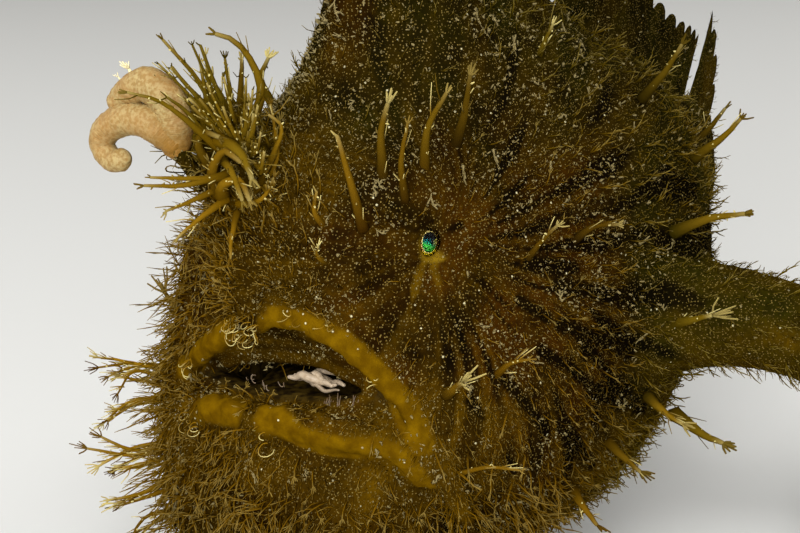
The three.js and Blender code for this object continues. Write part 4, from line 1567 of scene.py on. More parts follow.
def coat_tree():
    group = bpy.data.node_groups.new("coat", "GeometryNodeTree")
    for name, kind, value in COAT_INPUTS:
        socket = group.interface.new_socket(name, in_out="INPUT", socket_type=kind)
        if value is not None:
            socket.default_value = value
    group.interface.new_socket("Coat", in_out="OUTPUT", socket_type="NodeSocketGeometry")
    tree = Tree(group)
    given = tree.add("NodeGroupInput")

    def stored(name, kind="FLOAT"):
        return tree.add("GeometryNodeInputNamedAttribute", {"data_type": kind}, {"Name": name})

    def chance(low, high, salt, kind="FLOAT"):
        """A random value; the salt keeps each use apart from the others."""
        lowest, highest, value = {"FLOAT": (2, 3, 1), "INT": (4, 5, 2), "FLOAT_VECTOR": (0, 1, 0)}[kind]
        return tree.add("FunctionNodeRandomValue", {"data_type": kind},
                        {lowest: low, highest: high, "Seed": given.also("Seed") + salt}, output=value)

    def compared(operation, name):
        return tree.add("FunctionNodeCompare", {"data_type": "INT", "operation": operation},
                        {2: stored("part", "INT"), 3: given.also(name)})

    def scaled(vector, size):
        return tree.add("ShaderNodeVectorMath", {"operation": "SCALE"}, {0: vector, "Scale": size})

    here = tree.add("FunctionNodeBooleanMath", {"operation": "AND"}, {
        0: compared("GREATER_EQUAL", "From part"), 1: compared("LESS_EQUAL", "To part")})
    scattered = tree.add("GeometryNodeDistributePointsOnFaces", {"distribute_method": "POISSON"}, {
        "Mesh": given, "Selection": here, "Distance Min": given.also("Gap"),
        "Density Max": given.also("Per square metre"), "Density Factor": stored(given.also("Sown by")),
        "Seed": given.also("Seed")})
    toned = tree.add("GeometryNodeStoreNamedAttribute", {"data_type": "FLOAT", "domain": "POINT"}, {
        "Geometry": scattered, "Name": "tone", "Value": chance(0.0, 1.0, 1)})
    lie = stored("lie", "FLOAT_VECTOR")
    stray = chance((-1.0, -1.0, -1.0), (1.0, 1.0, 1.0), 2, "FLOAT_VECTOR")
    leaning = scaled(lie, given.also("Lean") * chance(0.6, 1.4, 3))
    straying = scaled(stray, given.also("Scatter"))
    aim = tree.vector("ADD", tree.vector("ADD", scattered.also("Normal"), leaning), straying)
    turn = tree.add("FunctionNodeAxesToRotation", {"primary_axis": "Z", "secondary_axis": "X"}, {
        "Primary Axis": aim, "Secondary Axis": tree.vector("ADD", lie, straying)})
    follow = given.also("Follow")
    reach = (stored("length") * follow + 0.001 * (1 - follow)) * given.also("Length") * chance(0.55, 1.2, 4)
    width = reach * given.also("Slimness")
    scale = tree.add("ShaderNodeCombineXYZ", values={"X": width, "Y": width, "Z": reach})
    shapes = tree.add("GeometryNodeCollectionInfo", values={
        "Collection": given.also("Shapes"), "Separate Children": True, "Reset Children": True})
    grown = tree.add("GeometryNodeInstanceOnPoints", values={
        "Points": toned, "Instance": shapes, "Pick Instance": True,
        "Instance Index": chance(0, 1000, 5, "INT"), "Rotation": turn, "Scale": scale})
    real = tree.add("GeometryNodeRealizeInstances", values={"Geometry": grown})
    patch = tree.add("ShaderNodeCombineXYZ", values={
        "X": (stored("around") - 0.5) * PATCH, "Y": (stored("along") - 0.5) * PATCH})
    place = tree.vector("ADD", stored("chart", "FLOAT_VECTOR"), patch)
    mapped = tree.add("GeometryNodeStoreNamedAttribute", {"data_type": "FLOAT2", "domain": "CORNER"}, {
        "Geometry": real, "Name": "OFBake", "Value": place})
    painted = tree.add("GeometryNodeSetMaterial", values={
        "Geometry": mapped, "Material": given.also("Finish")})
    tree.add("NodeGroupOutput", values={"Coat": painted})
    return group


COAT = coat_tree()
COAT_SOCKETS = {item.name: item.identifier for item in COAT.interface.items_tree
                if item.in_out == "INPUT"}
print("inputs of the coat:", ", ".join(COAT_SOCKETS))

# %% [markdown]
# ## The coat's finish
#
# A filament is clear jelly over a thread of pigment: it starts in the colour of the skin under it,
# turns golden, and ends pale where its tip is frayed. The crumbs and flakes are nearly all pale.

# %% Filaments, crumbs and flakes
HAIR_BROWN, HAIR_GOLD, HAIR_OLIVE = (0.040, 0.017, 0.0006), (0.180, 0.094, 0.0040), (0.044, 0.041, 0.0028)
TIP_SHADE, TIP_LIGHT = (0.220, 0.150, 0.025), (0.520, 0.440, 0.170)
CRUMB_SHADE, CRUMB_LIGHT = (0.120, 0.080, 0.015), (0.680, 0.620, 0.380)


def coat_finish():
    finish = Finish("frogfish_filament")
    along, tone = finish.mark("along"), finish.mark("tone")
    flesh_colour = finish.mix(finish.ramp(tone, 0.1, 0.9), HAIR_BROWN, HAIR_GOLD)
    flesh_colour = finish.mix(finish.mark("olive") * 0.6, flesh_colour, HAIR_OLIVE)
    flesh_colour = finish.mix(finish.mark("streak") * 0.6, flesh_colour, STREAK)
    colour = finish.mix(finish.ramp(along, 0.0, 0.45), skin_ground(finish), flesh_colour)
    pale = finish.mix(finish.ramp(tone, 0.3, 0.9), TIP_SHADE, TIP_LIGHT)
    colour = finish.mix(finish.ramp(along, 0.55, 0.9) * finish.ramp(tone, 0.3, 0.8), colour, pale)
    return finish.set(Base_Color=colour, Roughness=0.55, Specular_IOR_Level=0.0)


def crumb_finish():
    finish = Finish("frogfish_crumb")
    tone = finish.mark("tone")
    pale = finish.mix(finish.ramp(tone, 0.35, 1.0), CRUMB_SHADE, CRUMB_LIGHT)
    colour = finish.mix(finish.ramp(tone, 0.0, 0.3) * 0.95, skin_ground(finish), pale)
    return finish.set(Base_Color=colour, Roughness=0.7, Specular_IOR_Level=0.0)


FILAMENT, CRUMB = coat_finish(), crumb_finish()
print("finishes mixed:", FILAMENT.name, CRUMB.name)

# %% Growing one part of the coat
SKIN_ONLY = ("density", "crumbs", "fringe", "length", "lie", "chart", "part", "lip", "cavity", "around")


def grow_coat(name, family, finish, sizes):
    """Runs the tree on the skin for one part, and keeps the result as a plain mesh."""
    carrier = bpy.data.objects.new(name, skin.data)
    SCENE.collection.objects.link(carrier)
    modifier = carrier.modifiers.new("coat", "NODES")
    modifier.node_group = COAT
    for key, value in {"Shapes": families[family], "Finish": finish, **sizes}.items():
        modifier[COAT_SOCKETS[key]] = value
    evaluated = carrier.evaluated_get(bpy.context.evaluated_depsgraph_get())
    mesh = bpy.data.meshes.new_from_object(evaluated)
    carrier.modifiers.remove(modifier)
    carrier.data = mesh
    mesh.name = name
    for extra in [a.name for a in mesh.attributes if a.name in SKIN_ONLY]:
        mesh.attributes.remove(mesh.attributes[extra])
    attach(carrier, "root")
    triangles = sum(len(p.vertices) - 2 for p in mesh.polygons)
    print(f"{name}: {triangles} triangles")
    return triangles


print("the skin lends the coat", ", ".join(SKIN_ONLY))

# %% Grow it, part by part
STREWN = {"Lean": 0.3, "Scatter": 0.7, "Sown by": "crumbs", "Follow": 0.0}
STUBBLE = {"Lean": 0.8, "Scatter": 0.5, "Slimness": 1.3}
FUZZ = {"Lean": 0.8, "Scatter": 0.9, "Slimness": 0.7}
CURLS = {"Lean": 1.0, "Scatter": 0.9, "Slimness": 0.72}
FRINGE = {"Lean": 0.35, "Scatter": 0.8, "Slimness": 0.40, "Sown by": "fringe"}
TALL_TUFTS = {"Lean": 0.8, "Scatter": 0.5, "Slimness": 0.7}
TUFTS = {"Lean": 0.7, "Scatter": 0.5, "Slimness": 0.7}
COAT_PLAN = [
    ("crumbs_face_left", "crumbs", LEFT_FACE, LEFT_FACE, 0.00062, 0.45, STREWN),
    ("crumbs_chin", "crumbs", RIGHT_FACE, BEARD, 0.00080, 0.50, STREWN),
    ("crumbs_back", "crumbs", CROWN, LIMBS, 0.00110, 0.60, STREWN),
    ("flakes", "flakes", LEFT_FACE, LIMBS, 0.00180, 1.1, STREWN),
    ("stubble_face", "hairs", LEFT_FACE, LEFT_FACE, 0.00050, 0.26, STUBBLE),
    ("stubble_crown", "hairs", CROWN, CROWN, 0.00080, 0.30, STUBBLE),
    ("stubble_flanks", "hairs", LEFT_FLANK, RIGHT_FLANK, 0.00100, 0.38, STUBBLE),
    ("fur_face_left", "hairs", LEFT_FACE, LEFT_FACE, 0.00145, 0.70, FUZZ),
    ("fur_face_right", "hairs", RIGHT_FACE, RIGHT_FACE, 0.00066, 0.9, FUZZ),
    ("fur_beard", "hairs", BEARD, BEARD, 0.00074, 0.9, FUZZ),
    ("fur_crown", "hairs", CROWN, CROWN, 0.00170, 0.9, FUZZ),
    ("fur_flanks", "hairs", LEFT_FLANK, RIGHT_FLANK, 0.00190, 0.75, FUZZ),
    ("fur_limbs", "hairs", LIMBS, LIMBS, 0.00100, 0.6, FUZZ),
    ("curls_face_left", "forks", LEFT_FACE, LEFT_FACE, 0.0023, 1.05, CURLS),
    ("curls_face_right", "forks", RIGHT_FACE, RIGHT_FACE, 0.0020, 1.0, FUZZ),
    ("curls_beard", "forks", BEARD, BEARD, 0.0023, 1.1, FUZZ),
    ("fringe", "tufts", RIGHT_FACE, BEARD, 0.00110, 1.45, FRINGE),
    ("tufts_crown", "tufts", CROWN, CROWN, 0.0040, 1.0, TALL_TUFTS),
    ("tufts_flanks", "tufts", LEFT_FLANK, RIGHT_FLANK, 0.0042, 1.05, TUFTS),
    ("tufts_limbs", "tufts", LIMBS, LIMBS, 0.0034, 1.0, TUFTS),
]
coat_total = 0
for number, (name, family, first, last, gap, long, growth) in enumerate(COAT_PLAN):
    finish = CRUMB if growth is STREWN else FILAMENT
    coat_total += grow_coat(name, family, finish, {
        "From part": first, "To part": last, "Gap": gap, "Length": long, "Seed": 20 + number, **growth})
for collection in families.values():
    for shape in list(collection.objects):
        bpy.data.objects.remove(shape)
    bpy.data.collections.remove(collection)
bpy.data.collections.remove(SHAPES)
print("coat triangles in all:", coat_total)

# %% [markdown]
# ## Stalks with hands
#
# Over the eye, on the cheek and on the flank stand single long filaments, thick at the foot, with a
# small frayed hand at the tip. There are few of them and each has its own place, so they are set
# from a short table, mirrored to the right side with a little change. Beside the right corner of
# the mouth they stand in bundles of three.

# %% A stalk
STALK_TAPER = np.array([1.4, 1.1, 0.85, 0.66, 0.52, 0.40])


def stalk(strands, points, thick, fingers, random, tone, reach, count=9, wisps=5, spread=0.45, pale=0.15):
    """A tapering filament with a broad foot, fine warts, some wisps along it and a hand at its tip."""
    path = smooth_path(points, count)
    path[1:] += np.cumsum(random.normal(size=(count - 1, 3)) * 0.04, axis=0)
    strands.root = path[0]
    foot = path[0] - (path[1] - path[0]) * 0.5
    strands.grow(np.vstack([foot, path]), thick * STALK_TAPER, 0, 0.72, tone)
    strands.hand(path[-1], path[-1] - path[-2], reach, thick * 0.26, fingers, random, tone + pale)
    run = path[-1] - path[0]
    run /= np.linalg.norm(run)
    for wart in range(count - 2):
        away = random.normal(size=3)
        away /= np.linalg.norm(away)
        start = path[wart + 1] + away * thick * 0.35
        strands.grow([start, start + away * random.uniform(0.25, 0.8) * thick], [0.16, 0.10], 0.75, 1.0,
                     random.uniform(0.4, 1.0))
    for wisp in range(wisps):
        start = path[random.integers(0, count - 1)]
        away = run * random.uniform(0.4, 1.0) + random.normal(size=3) * spread
        length = random.uniform(0.8, 2.4)
        strands.grow([start, start + away * length * 0.5, start + (away + run * 0.4) * length],
                     [0.11, 0.085, 0.05], 0.45, 0.9, random.uniform(0.3, 0.9))


print("a stalk tapers from", STALK_TAPER[0], "to", STALK_TAPER[-1], "of its thickness")

# %% Stalks on both sides: foot, middle, tip, thickness, fingers and their reach
HEAD_STALKS = [
    ((14.3, 5, 66), (13.2, 3.6, 73), (11.7, 3, 78.2), 0.58, 1, 1),
    ((15.1, 8.5, 71.6), (15, 8, 77.5), (15.8, 8.8, 82), 0.62, 9, 1.5),
    ((18.5, 9, 69.6), (18.8, 8, 75), (19.6, 8.2, 80), 0.44, 3, 0.8),
    ((17.8, 13.9, 72.4), (18, 14.6, 78.5), (19.7, 16.5, 83), 0.56, 5, 1),
    ((17.1, 21.6, 74.4), (18.9, 21.4, 79.4), (18.3, 23.3, 84.2), 0.62, 8, 1.3),
    ((9.6, 2.4, 65.4), (9, 1.2, 67.8), (9.6, 0.9, 70.4), 0.4, 1, 1),
    ((28, 35.1, 59.6), (30.8, 36.6, 62), (34.4, 37.1, 62.8), 0.5, 6, 0.9),
    ((26.5, 25.4, 58.4), (29.4, 25.6, 62), (31.3, 26.2, 64.3), 0.42, 5, 0.9),
    ((25.8, 9.3, 43.2), (28, 8.4, 44.8), (29.6, 7.9, 46), 0.62, 9, 2.4),
    ((29.3, 15.8, 45), (32.2, 15.2, 47.4), (34.6, 15.7, 48.3), 0.4, 3, 0.8),
    ((10.8, 1.4, 60.7), (10.6, 0, 62.2), (11.2, -0.4, 63.6), 0.34, 3, 0.8),
    ((15.6, 42.8, 83.6), (16.6, 43.2, 86.4), (17.3, 44, 88.8), 0.42, 5, 1),
    ((24.9, 10.7, 30.2), (30.8, 11.2, 33.2), (35.9, 12.6, 33.7), 0.34, 3, 0.8),
]
FLANK_STALKS = [
    ((31, 58.5, 57), (36, 60, 59.6), (40, 62.5, 60.5), 0.72, 6, 1.2),
    ((30.2, 62, 26), (34.2, 63.4, 23.4), (37.5, 64, 22.5), 0.8, 7, 1.6),
    ((33.8, 55.5, 43.7), (37, 55.2, 45), (39.4, 55.5, 46), 0.62, 10, 2.6),
    ((29, 45, 26), (32, 45.6, 23.8), (34, 46.2, 22.4), 0.62, 7, 1.6),
    ((31.2, 52, 32), (34.4, 52.4, 30), (36.6, 53.2, 28.6), 0.6, 7, 1.6),
    ((27.4, 38, 20), (29.8, 38.2, 17.2), (31.2, 38.6, 15.4), 0.6, 6, 1.4),
    ((27, 70, 66), (30.6, 71.6, 69.4), (32.4, 73.8, 72.2), 0.6, 5, 1.2),
    ((22, 62, 76), (25, 63.4, 80.4), (26.4, 65.6, 84), 0.6, 5, 1.2),
    ((14, 92, 62), (17.2, 93.4, 65.6), (18.8, 95.8, 68.6), 0.55, 5, 1.2),
    ((17, 88, 44), (20.8, 89.4, 43), (23.4, 91.6, 41.2), 0.55, 5, 1.2),
]
random = np.random.default_rng(23)
stalks = Strands(6)
for number, (low, middle, high, thick, fingers, reach) in enumerate(HEAD_STALKS + FLANK_STALKS):
    pale = 0.0 if number < len(HEAD_STALKS) else -0.2
    for side in (1, -1):
        shake = random.normal(size=(3, 3)) * [[0.0], [0.5], [0.8]] * (side < 0)
        points = (np.array([low, middle, high]) * [side, 1, 1]) + shake
        points[:, 0] += midline(points[:, 1])
        stalk(stalks, points, 1.25 * thick, fingers, random, random.uniform(0.45, 0.8), 1.15 * reach,
              wisps=7, pale=pale)
print("stalks on both sides:", 2 * len(HEAD_STALKS + FLANK_STALKS))

# %% Bundles beside the right corner of the mouth
SIDE_STALKS = [
    ((-23, 4.6, 37.4), (-28, 0.4, 38), (-32.3, -2.8, 37.7), 0.62, 7, 1.8),
    ((-22.6, 3.6, 35.4), (-26.6, 0.6, 35.6), (-29.4, -1.2, 34.6), 0.55, 6, 1.4),
    ((-20.6, 2.4, 33), (-26, -1.2, 33), (-30, -3.3, 31.4), 0.6, 7, 1.6),
    ((-18, 0.8, 28.6), (-24.4, -2.6, 27), (-29.7, -5.2, 25.6), 0.75, 7, 2),
    ((-16.8, 0.6, 27.2), (-22, -3.6, 24.6), (-26.4, -6, 23), 0.6, 6, 1.6),
    ((-15.2, -0.6, 23.6), (-21.8, -4.2, 20.6), (-26.2, -5, 17.2), 0.8, 5, 2),
    ((-13.6, -1, 19), (-19.2, -5, 16.4), (-22.8, -6.4, 12.6), 0.65, 6, 1.6),
]
for low, middle, high, thick, fingers, reach in SIDE_STALKS:
    for strand in range(3):
        shake = random.normal(size=(3, 3)) * [[0.5], [0.8], [1.1]]
        points = np.array([low, middle, high]) + shake
        stalk(stalks, points, thick * 0.62, fingers, random, random.uniform(0.4, 0.9), reach,
              wisps=24, spread=0.26, pale=-0.2)
stalks.dressed("stalks", FILAMENT)

# %% [markdown]
# ## The bush over the snout
#
# The second spine ends in a bush of branched filaments that leans over the snout, half hiding the
# rod of the lure. The long ones, which make its outline, stand in a table. The rest fan out by a
# rule along the spine.

# %% The long filaments of the bush: points and thickness
BUSH_LONG = [
    ((-2.5, -3.3, 75.2), (-5.6, -4.3, 83.3), (-11.1, -6.5, 89.8), 0.48),
    ((-1.9, -1, 76.3), (-1.8, 2.8, 82.7), (-5.2, 2.2, 88.6), (-7.8, 0.4, 90.1), 0.72),
    ((-3.4, -4.9, 76.8), (-4.6, -4, 82), (-7.1, -2.5, 87.6), 0.46),
    ((-3, -5.8, 77), (-4.8, -5.1, 82.8), (-6.1, -4.6, 87.2), 0.42),
    ((-2.4, -2, 78.5), (-4.7, -0.8, 83.5), (-5.9, -0.4, 87.1), 0.44),
    ((-1.8, -6.4, 76.5), (-5, -12.2, 82.5), (-7.5, -16.4, 84.4), 0.46),
    ((-2.5, -6.7, 77.2), (-4.3, -9.3, 81.4), (-5.9, -11.2, 83.5), 0.42),
    ((-3, -5.8, 77), (-5.6, -6.3, 81.5), (-6.9, -6.8, 83.2), 0.4),
    ((-0.1, -6.4, 72.7), (-2.5, -11.4, 71.8), (-6.7, -15, 71.7), 0.5),
    ((0, -6.4, 72.3), (-2.4, -11, 72.7), (-6.2, -14.1, 72.7), 0.44),
    ((2.3, -4.1, 69.7), (4.2, -0.7, 74.4), (1.5, 1, 81.4), 0.4),
    ((3.5, -2.9, 72), (4.7, -0.2, 78.5), (3.1, -1.1, 80.5), 0.44),
    ((-1, -6, 77.1), (3.2, -6.7, 76.3), (4.8, -6.2, 73), 0.85),
    ((-1.4, -5.6, 74.6), (2.6, -7.6, 73.8), (4.6, -7.8, 70.2), 0.62),
    ((1.6, -5.3, 68.8), (5, -4.6, 69.7), (5.8, -2.9, 72.3), 0.44),
    ((-1.8, -5.6, 70.6), (-5, -8.6, 68.6), (-8.2, -9.6, 67), 0.46),
    ((-0.6, -6, 69), (-2.6, -9, 66.6), (-5, -10.4, 64.2), 0.46),
    ((1, -5.4, 67.2), (2.6, -8, 65), (3.2, -9, 62), 0.42),
    ((-2.6, -5.4, 70), (-1, -7.8, 73.6), (1, -7.6, 76.4), (3.4, -6.8, 75.2), 0.85),
    ((-1.2, -5.8, 69.6), (0.8, -7.8, 71.6), (3.2, -7.2, 72.6), (4.4, -6.4, 69.8), 0.8),
    ((-3.6, -5.2, 72.6), (-4.4, -6.8, 75.8), (-2.8, -7.4, 78.4), (-0.4, -7, 78), 0.75),
    ((-0.6, -3.8, 73), (0.6, -3.6, 77), (2.4, -3.6, 80.2), (2.6, -4.4, 82.6), 0.8),
]
bush = Strands(6)
for *points, thick in BUSH_LONG:
    stalk(bush, points, thick * 1.1, int(random.integers(2, 6)), random, random.uniform(0.45, 0.85),
          reach=1.1, count=10, pale=-0.2)
print("long filaments:", len(BUSH_LONG))

# %% The rest of the bush
FILLERS = 120
GOLDEN_ANGLE = 2.4
spine_path = smooth_path(SPINE[1:], 20)
for filler in range(FILLERS):
    share = (filler + 0.5) / FILLERS
    place = spine_path[int(3 + 16 * share)]
    turn = GOLDEN_ANGLE * filler + 0.4 * random.normal()
    outward = np.array([math.cos(turn), -0.62 - 0.35 * math.sin(turn), 0.75 * math.sin(turn) + 0.1])
    outward /= np.linalg.norm(outward)
    upward = np.array([-0.55 + 0.9 * math.cos(turn), -0.25, 0.35 + 0.9 * share])
    reach = (5.0 + 4.5 * share) * random.uniform(0.7, 1.25)
    start = place + outward * lerp(3.6, 1.2, share)
    end = start + outward * reach * 0.7 + upward * reach * 0.45
    stalk(bush, [start, start + outward * reach * 0.5, end], random.uniform(0.34, 0.56),
          int(random.integers(1, 4)), random, random.uniform(0.35, 0.8),
          reach=0.6, count=8, wisps=2, pale=-0.45)
bush.dressed("bush", FILAMENT)

# %% [markdown]
# ## The lure
#
# The first spine is a thin rod that carries the lure, two thick pale worms. They are tubes along a
# curve, with soft lumps and a fine grain of rings, cream at the ends and orange where they join the
# rod. On top sits a tuft of tiny fingers.

# %% A worm
def worm(strands, points, radii, rings, seed):
    """A plump tube with soft rings and lumps; the radii are spread evenly along it."""
    path = smooth_path(points, rings)
    share = np.linspace(0, 1, rings)
    radii = np.interp(share, np.linspace(0, 1, len(radii)), radii)
    radii = radii * np.sqrt(1 - np.clip((share - 0.93) / 0.075, 0, 1) ** 2 + 1e-4)
    ringed = 0.012 * np.sin(share * 150 + 2 * np.sin(share * 31))
    radii = radii * (1 + ringed + 0.03 * np.sin(share * 17 + seed))
    first = len(strands.points)
    strands.root = None
    strands.grow(path, radii)
    points = strands.points[first]
    body = points[1:-1].reshape(rings, strands.sides, 3)
    middle = path[:, None, :]
    lumps = 1 + 0.09 * wander(body, 2.6, seed) + 0.040 * wander(body, 0.7, seed + 1)
    points[1:-1] = (middle + (body - middle) * lumps[..., None]).reshape(-1, 3)


LURE_SHADE, LURE_LIGHT = (0.235, 0.140, 0.040), (0.330, 0.245, 0.100)
LURE_FOOT, LURE_BLUSH = (0.200, 0.095, 0.010), (0.270, 0.125, 0.030)


def lure_finish():
    finish = Finish("frogfish_lure")
    along = finish.mark("along")
    grain = finish.noise(0.0005, detail=4)
    colour = finish.mix(finish.ramp(grain, 0.35, 0.65), LURE_SHADE, LURE_LIGHT)
    colour = finish.mix(1 - finish.ramp(along, 0.0, 0.30), colour, LURE_FOOT)
    blush = finish.ramp(finish.noise(0.0045), 0.40, 0.70)
    colour = finish.mix(blush * 0.45, colour, LURE_BLUSH)
    rings = finish.sine(along * 420 + grain * 6)
    return finish.set(Base_Color=colour, Roughness=0.6, Specular_IOR_Level=0.2,
                      Normal=finish.bump(rings * 0.15 + grain, 0.00010, 0.8))


print("a worm can be grown")

# %% The two worms and their tuft
THICK_WORM = [(-8.6, -7.2, 74.6), (-8.4, -7.4, 79.4), (-9.6, -8, 82.4), (-12.6, -8.7, 83.8),
              (-16.0, -9.2, 82.0), (-18.2, -9.6, 79.9)]
THICK_RADII = [1.8, 2.6, 2.75, 2.5, 2.1, 1.7]
THIN_WORM = [(-7.9, -7.6, 75.6), (-10.8, -9.2, 78.6), (-14.7, -10.2, 79), (-18, -10.8, 77.4),
             (-19.2, -11.0, 74.9), (-17.2, -11.0, 73.1), (-14.3, -10.8, 73.7)]
THIN_RADII = [1.6, 2.2, 2.25, 2.15, 1.95, 1.75, 1.5]
LURE_TUFT = [([(-14.8, -9.1, 84.6), (-14.9, -9.2, 85.3), (-15.0, -9.3, 85.8)], 0.5, 9, 0.95, 1.2),
             ([(-16.2, -9.6, 83.6), (-16.4, -9.9, 84.3), (-16.6, -10.1, 84.7)], 0.26, 4, 0.9, 0.7)]
WORM_RINGS = 120
lure = Strands(28)
worm(lure, THICK_WORM, THICK_RADII, WORM_RINGS, 3)
worm(lure, THIN_WORM, THIN_RADII, WORM_RINGS, 5)
lure.dressed("lure", lure_finish(), ["esca"])
lure_tuft = Strands(5)
for points, thick, fingers, tone, reach in LURE_TUFT:
    stalk(lure_tuft, points, thick, fingers, random, tone, reach, count=4, wisps=0)
lure_tuft.dressed("lure_tuft", CRUMB)

# %% [markdown]
# ## Threads and the inside of the mouth
#
# Fine threads curl in loops where the middle of the upper lip meets the snout, and beside the
# mouth. Inside the mouth a crumpled white fold lies on the tongue, with a row of upright pleats
# behind the lower lip. All are thin tubes.

# %% Threads
def looped(centre, across, along, turns, size, random, count=14):
    """A thread that goes out from a place, round, and back near to it."""
    angle = np.linspace(0, math.tau * turns, count)[:, None]
    across, along = np.asarray(across, float), np.asarray(along, float)
    grown = size * (0.5 + 0.5 * np.linspace(0, 1, count)[:, None])
    sway = 0.25 * size * np.sin(angle * 1.7 + random.uniform(0, 6)) * np.cross(across, along)
    return np.asarray(centre) + grown * (np.sin(angle) * across + (1 - np.cos(angle)) * along) + sway


threads = Strands(4)
LOOP_PLACES = [(-3.0, -2.9, 50.4, 8), (-0.6, -3.1, 49.8, 9), (1.6, -2.7, 50.4, 7), (8.3, -1.4, 53.3, 3),
               (11.6, -0.2, 53.0, 3), (-15.4, 0.2, 41.0, 7), (-18.0, 1.8, 36.0, 6), (-12.0, -2.8, 34.0, 5),
               (19.4, 2.4, 45.6, 3), (4.0, -3.8, 35.4, 3), (-22.0, 6.2, 33.0, 5)]
for x, y, z, number in LOOP_PLACES:
    for loop in range(number):
        turn = random.uniform(0, math.tau)
        across = np.array([math.cos(turn), -0.35, math.sin(turn) * 0.5])
        along = np.array([-math.sin(turn) * 0.6, -0.5, -0.5 + 0.3 * math.cos(turn)])
        centre = np.array([x, y, z]) + random.normal(size=3) * [1.0, 0.2, 0.6]
        threads.root = np.array([x, max(y, -1.0), z])
        path = looped(centre, across, along, random.uniform(0.45, 0.9), random.uniform(0.5, 1.5), random)
        threads.grow(path, [0.085, 0.075, 0.055], 0.35, 1.0, random.uniform(0.4, 1.0))
threads.dressed("threads", FILAMENT)

# %% A finish for the folds in the mouth
FOLD_SHADE, FOLD_LIGHT, FOLD_STAIN = (0.050, 0.026, 0.004), (0.400, 0.310, 0.210), (0.200, 0.120, 0.060)


def mouth_finish():
    finish = Finish("frogfish_mouth_fold")
    tone = finish.mark("tone")
    grain = finish.noise(0.0006, detail=3)
    colour = finish.mix(finish.ramp(tone, 0.2, 0.9), FOLD_SHADE, FOLD_LIGHT)
    colour = finish.mix(finish.ramp(grain, 0.45, 0.75) * 0.5, colour, FOLD_STAIN)
    return finish.set(Base_Color=colour, Roughness=0.35, Specular_IOR_Level=0.35,
                      Normal=finish.bump(grain, 0.0001, 0.6))


FOLD = mouth_finish()
print("finish mixed:", FOLD.name)

# %% Folds, curls and pleats in the mouth
CRUMPLED = [(0.62, 0.2, 0.95), (0.50, 0.8, 0.85), (0.30, -0.4, 0.6), (0.55, 0.5, 0.95), (0.40, 1.0, 0.8)]
CURLS_ON_TONGUE, PLEATS = 9, 52
folds = Strands(7)
for row, (thick, lift, tone) in enumerate(CRUMPLED):
    reach = np.linspace(0, 1, 24)[:, None]
    crumple = np.cumsum(random.normal(size=(24, 3)) * [0.20, 0.20, 0.26], axis=0)
    crumple -= reach * crumple[-1]
    wave = np.array([0.8 + 0.5 * row, 4.4 + 0.5 * row, 40.8 + lift]) + reach * [8.4, 0.4, 0.5] + crumple * 0.9
    folds.grow(smooth_path(wave[::3], 24), thick * (0.45 + 0.65 * np.sin(reach[:, 0] * np.pi)), tone=tone)
for curl in range(CURLS_ON_TONGUE):
    x, y = -5.5 + 0.8 * curl + random.normal() * 0.5, 2.8 + random.normal() * 0.5
    centre = np.array([x, y, 39.4 + random.uniform(0, 0.8)])
    turn = random.uniform(0, math.tau)
    across, along = (math.cos(turn), -0.3, 0.5 * math.sin(turn)), (0.3 * math.sin(turn), -0.2, 0.8)
    path = looped(centre, across, along, random.uniform(0.3, 0.7), random.uniform(0.4, 0.9), random)
    folds.grow(path, [0.08, 0.07, 0.05], tone=0.45)
for pleat in range(PLEATS):
    x = 9.5 + 11.5 * pleat / (PLEATS - 1) + random.normal() * 0.15
    foot = np.array([x, float(muzzle_front(x)) + 1.0, float(lower_lip(x)) + 0.4])
    height = (1.4 + 2.4 * math.sin(math.pi * min(1, 0.2 + pleat / 60))) * random.uniform(0.6, 1.1)
    folds.grow([foot, foot + [0.15, 0.4, height * 0.6], foot + [random.normal() * 0.3, 0.9, height]],
               [0.16, 0.13, 0.06], 0, 1, random.uniform(0.0, 0.35))
folds.dressed("mouth_folds", FOLD)

# %% [markdown]
# ## Camera, light and floor
#
# The camera stands where the photograph's did: a little above the fish, off its left bow. The light
# is soft, from four large areas, over a plain pale floor. The Standard view shows the colours as
# they are mixed; Blender's own default would grey them.

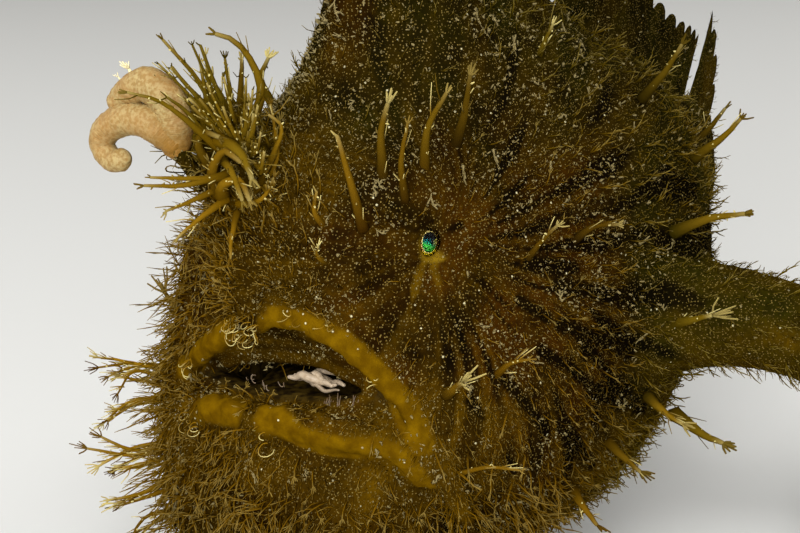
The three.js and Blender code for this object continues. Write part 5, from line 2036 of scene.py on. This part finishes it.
# %% The camera
AZIMUTH, ELEVATION, DISTANCE = math.radians(40), math.radians(16), 0.260
FRAME_WIDTH, SENSOR_WIDTH = 0.112, 36
AIM_RIGHT, AIM_UP = 0.01932, 0.00819
back = Vector((math.sin(AZIMUTH) * math.cos(ELEVATION), -math.cos(AZIMUTH) * math.cos(ELEVATION),
               math.sin(ELEVATION)))
right = Vector((math.cos(AZIMUTH), math.sin(AZIMUTH), 0))
up = back.cross(right)
camera_data = bpy.data.cameras.new("camera")
camera_data.sensor_width = SENSOR_WIDTH
camera_data.lens = SENSOR_WIDTH * DISTANCE / FRAME_WIDTH
camera = bpy.data.objects.new("camera", camera_data)
SCENE.collection.objects.link(camera)
lip_middle = Vector(to_scene([0, 0, 50]))
aim = lip_middle + right * AIM_RIGHT + up * AIM_UP
camera.location = aim + back * DISTANCE
camera.rotation_mode = "QUATERNION"
camera.rotation_quaternion = back.to_track_quat("Z", "Y")
camera_data.clip_start, camera_data.clip_end = 0.01, 10
SCENE.camera = camera
print("lens:", round(camera_data.lens, 1), "mm")

# %% Lights, world and floor
def area_light(name, place, size, power):
    data = bpy.data.lights.new(name, "AREA")
    data.size, data.energy = size, power
    lamp = bpy.data.objects.new(name, data)
    lamp.location = place
    lamp.rotation_mode = "QUATERNION"
    lamp.rotation_quaternion = Vector(place).to_track_quat("Z", "Y")
    SCENE.collection.objects.link(lamp)


area_light("key", (0.30, -0.55, 0.75), 0.5, 6.5)
area_light("front", (0.35, -0.60, 0.22), 0.35, 4.5)
area_light("fill", (-0.70, -0.45, 0.45), 0.7, 4)
area_light("rim", (0.25, 0.75, 0.60), 0.6, 3.5)
world = bpy.data.worlds.new("world")
SCENE.world = world
world.use_nodes = True
sky = world.node_tree.nodes["Background"]
sky.inputs["Color"].default_value = (0.90, 0.88, 0.85, 1)
sky.inputs["Strength"].default_value = 0.35
floor_mesh = bpy.data.meshes.new("floor")
floor_mesh.from_pydata([(-3, -3, 0), (3, -3, 0), (3, 3, 0), (-3, 3, 0)], [], [(0, 1, 2, 3)])
floor = bpy.data.objects.new("floor", floor_mesh)
floor_finish = Finish("studio_floor")
floor_finish.set(Base_Color=(0.62, 0.62, 0.60), Roughness=0.9, Specular_IOR_Level=0.1)
floor_mesh.materials.append(floor_finish.material)
SCENE.collection.objects.link(floor)
SCENE.view_settings.view_transform = "Standard"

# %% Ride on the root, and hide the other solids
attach(skin, "root")
flesh_nodes = [name for name in frame["nodes"] if not name.startswith("eye") and name != "esca"]
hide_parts(*flesh_nodes)
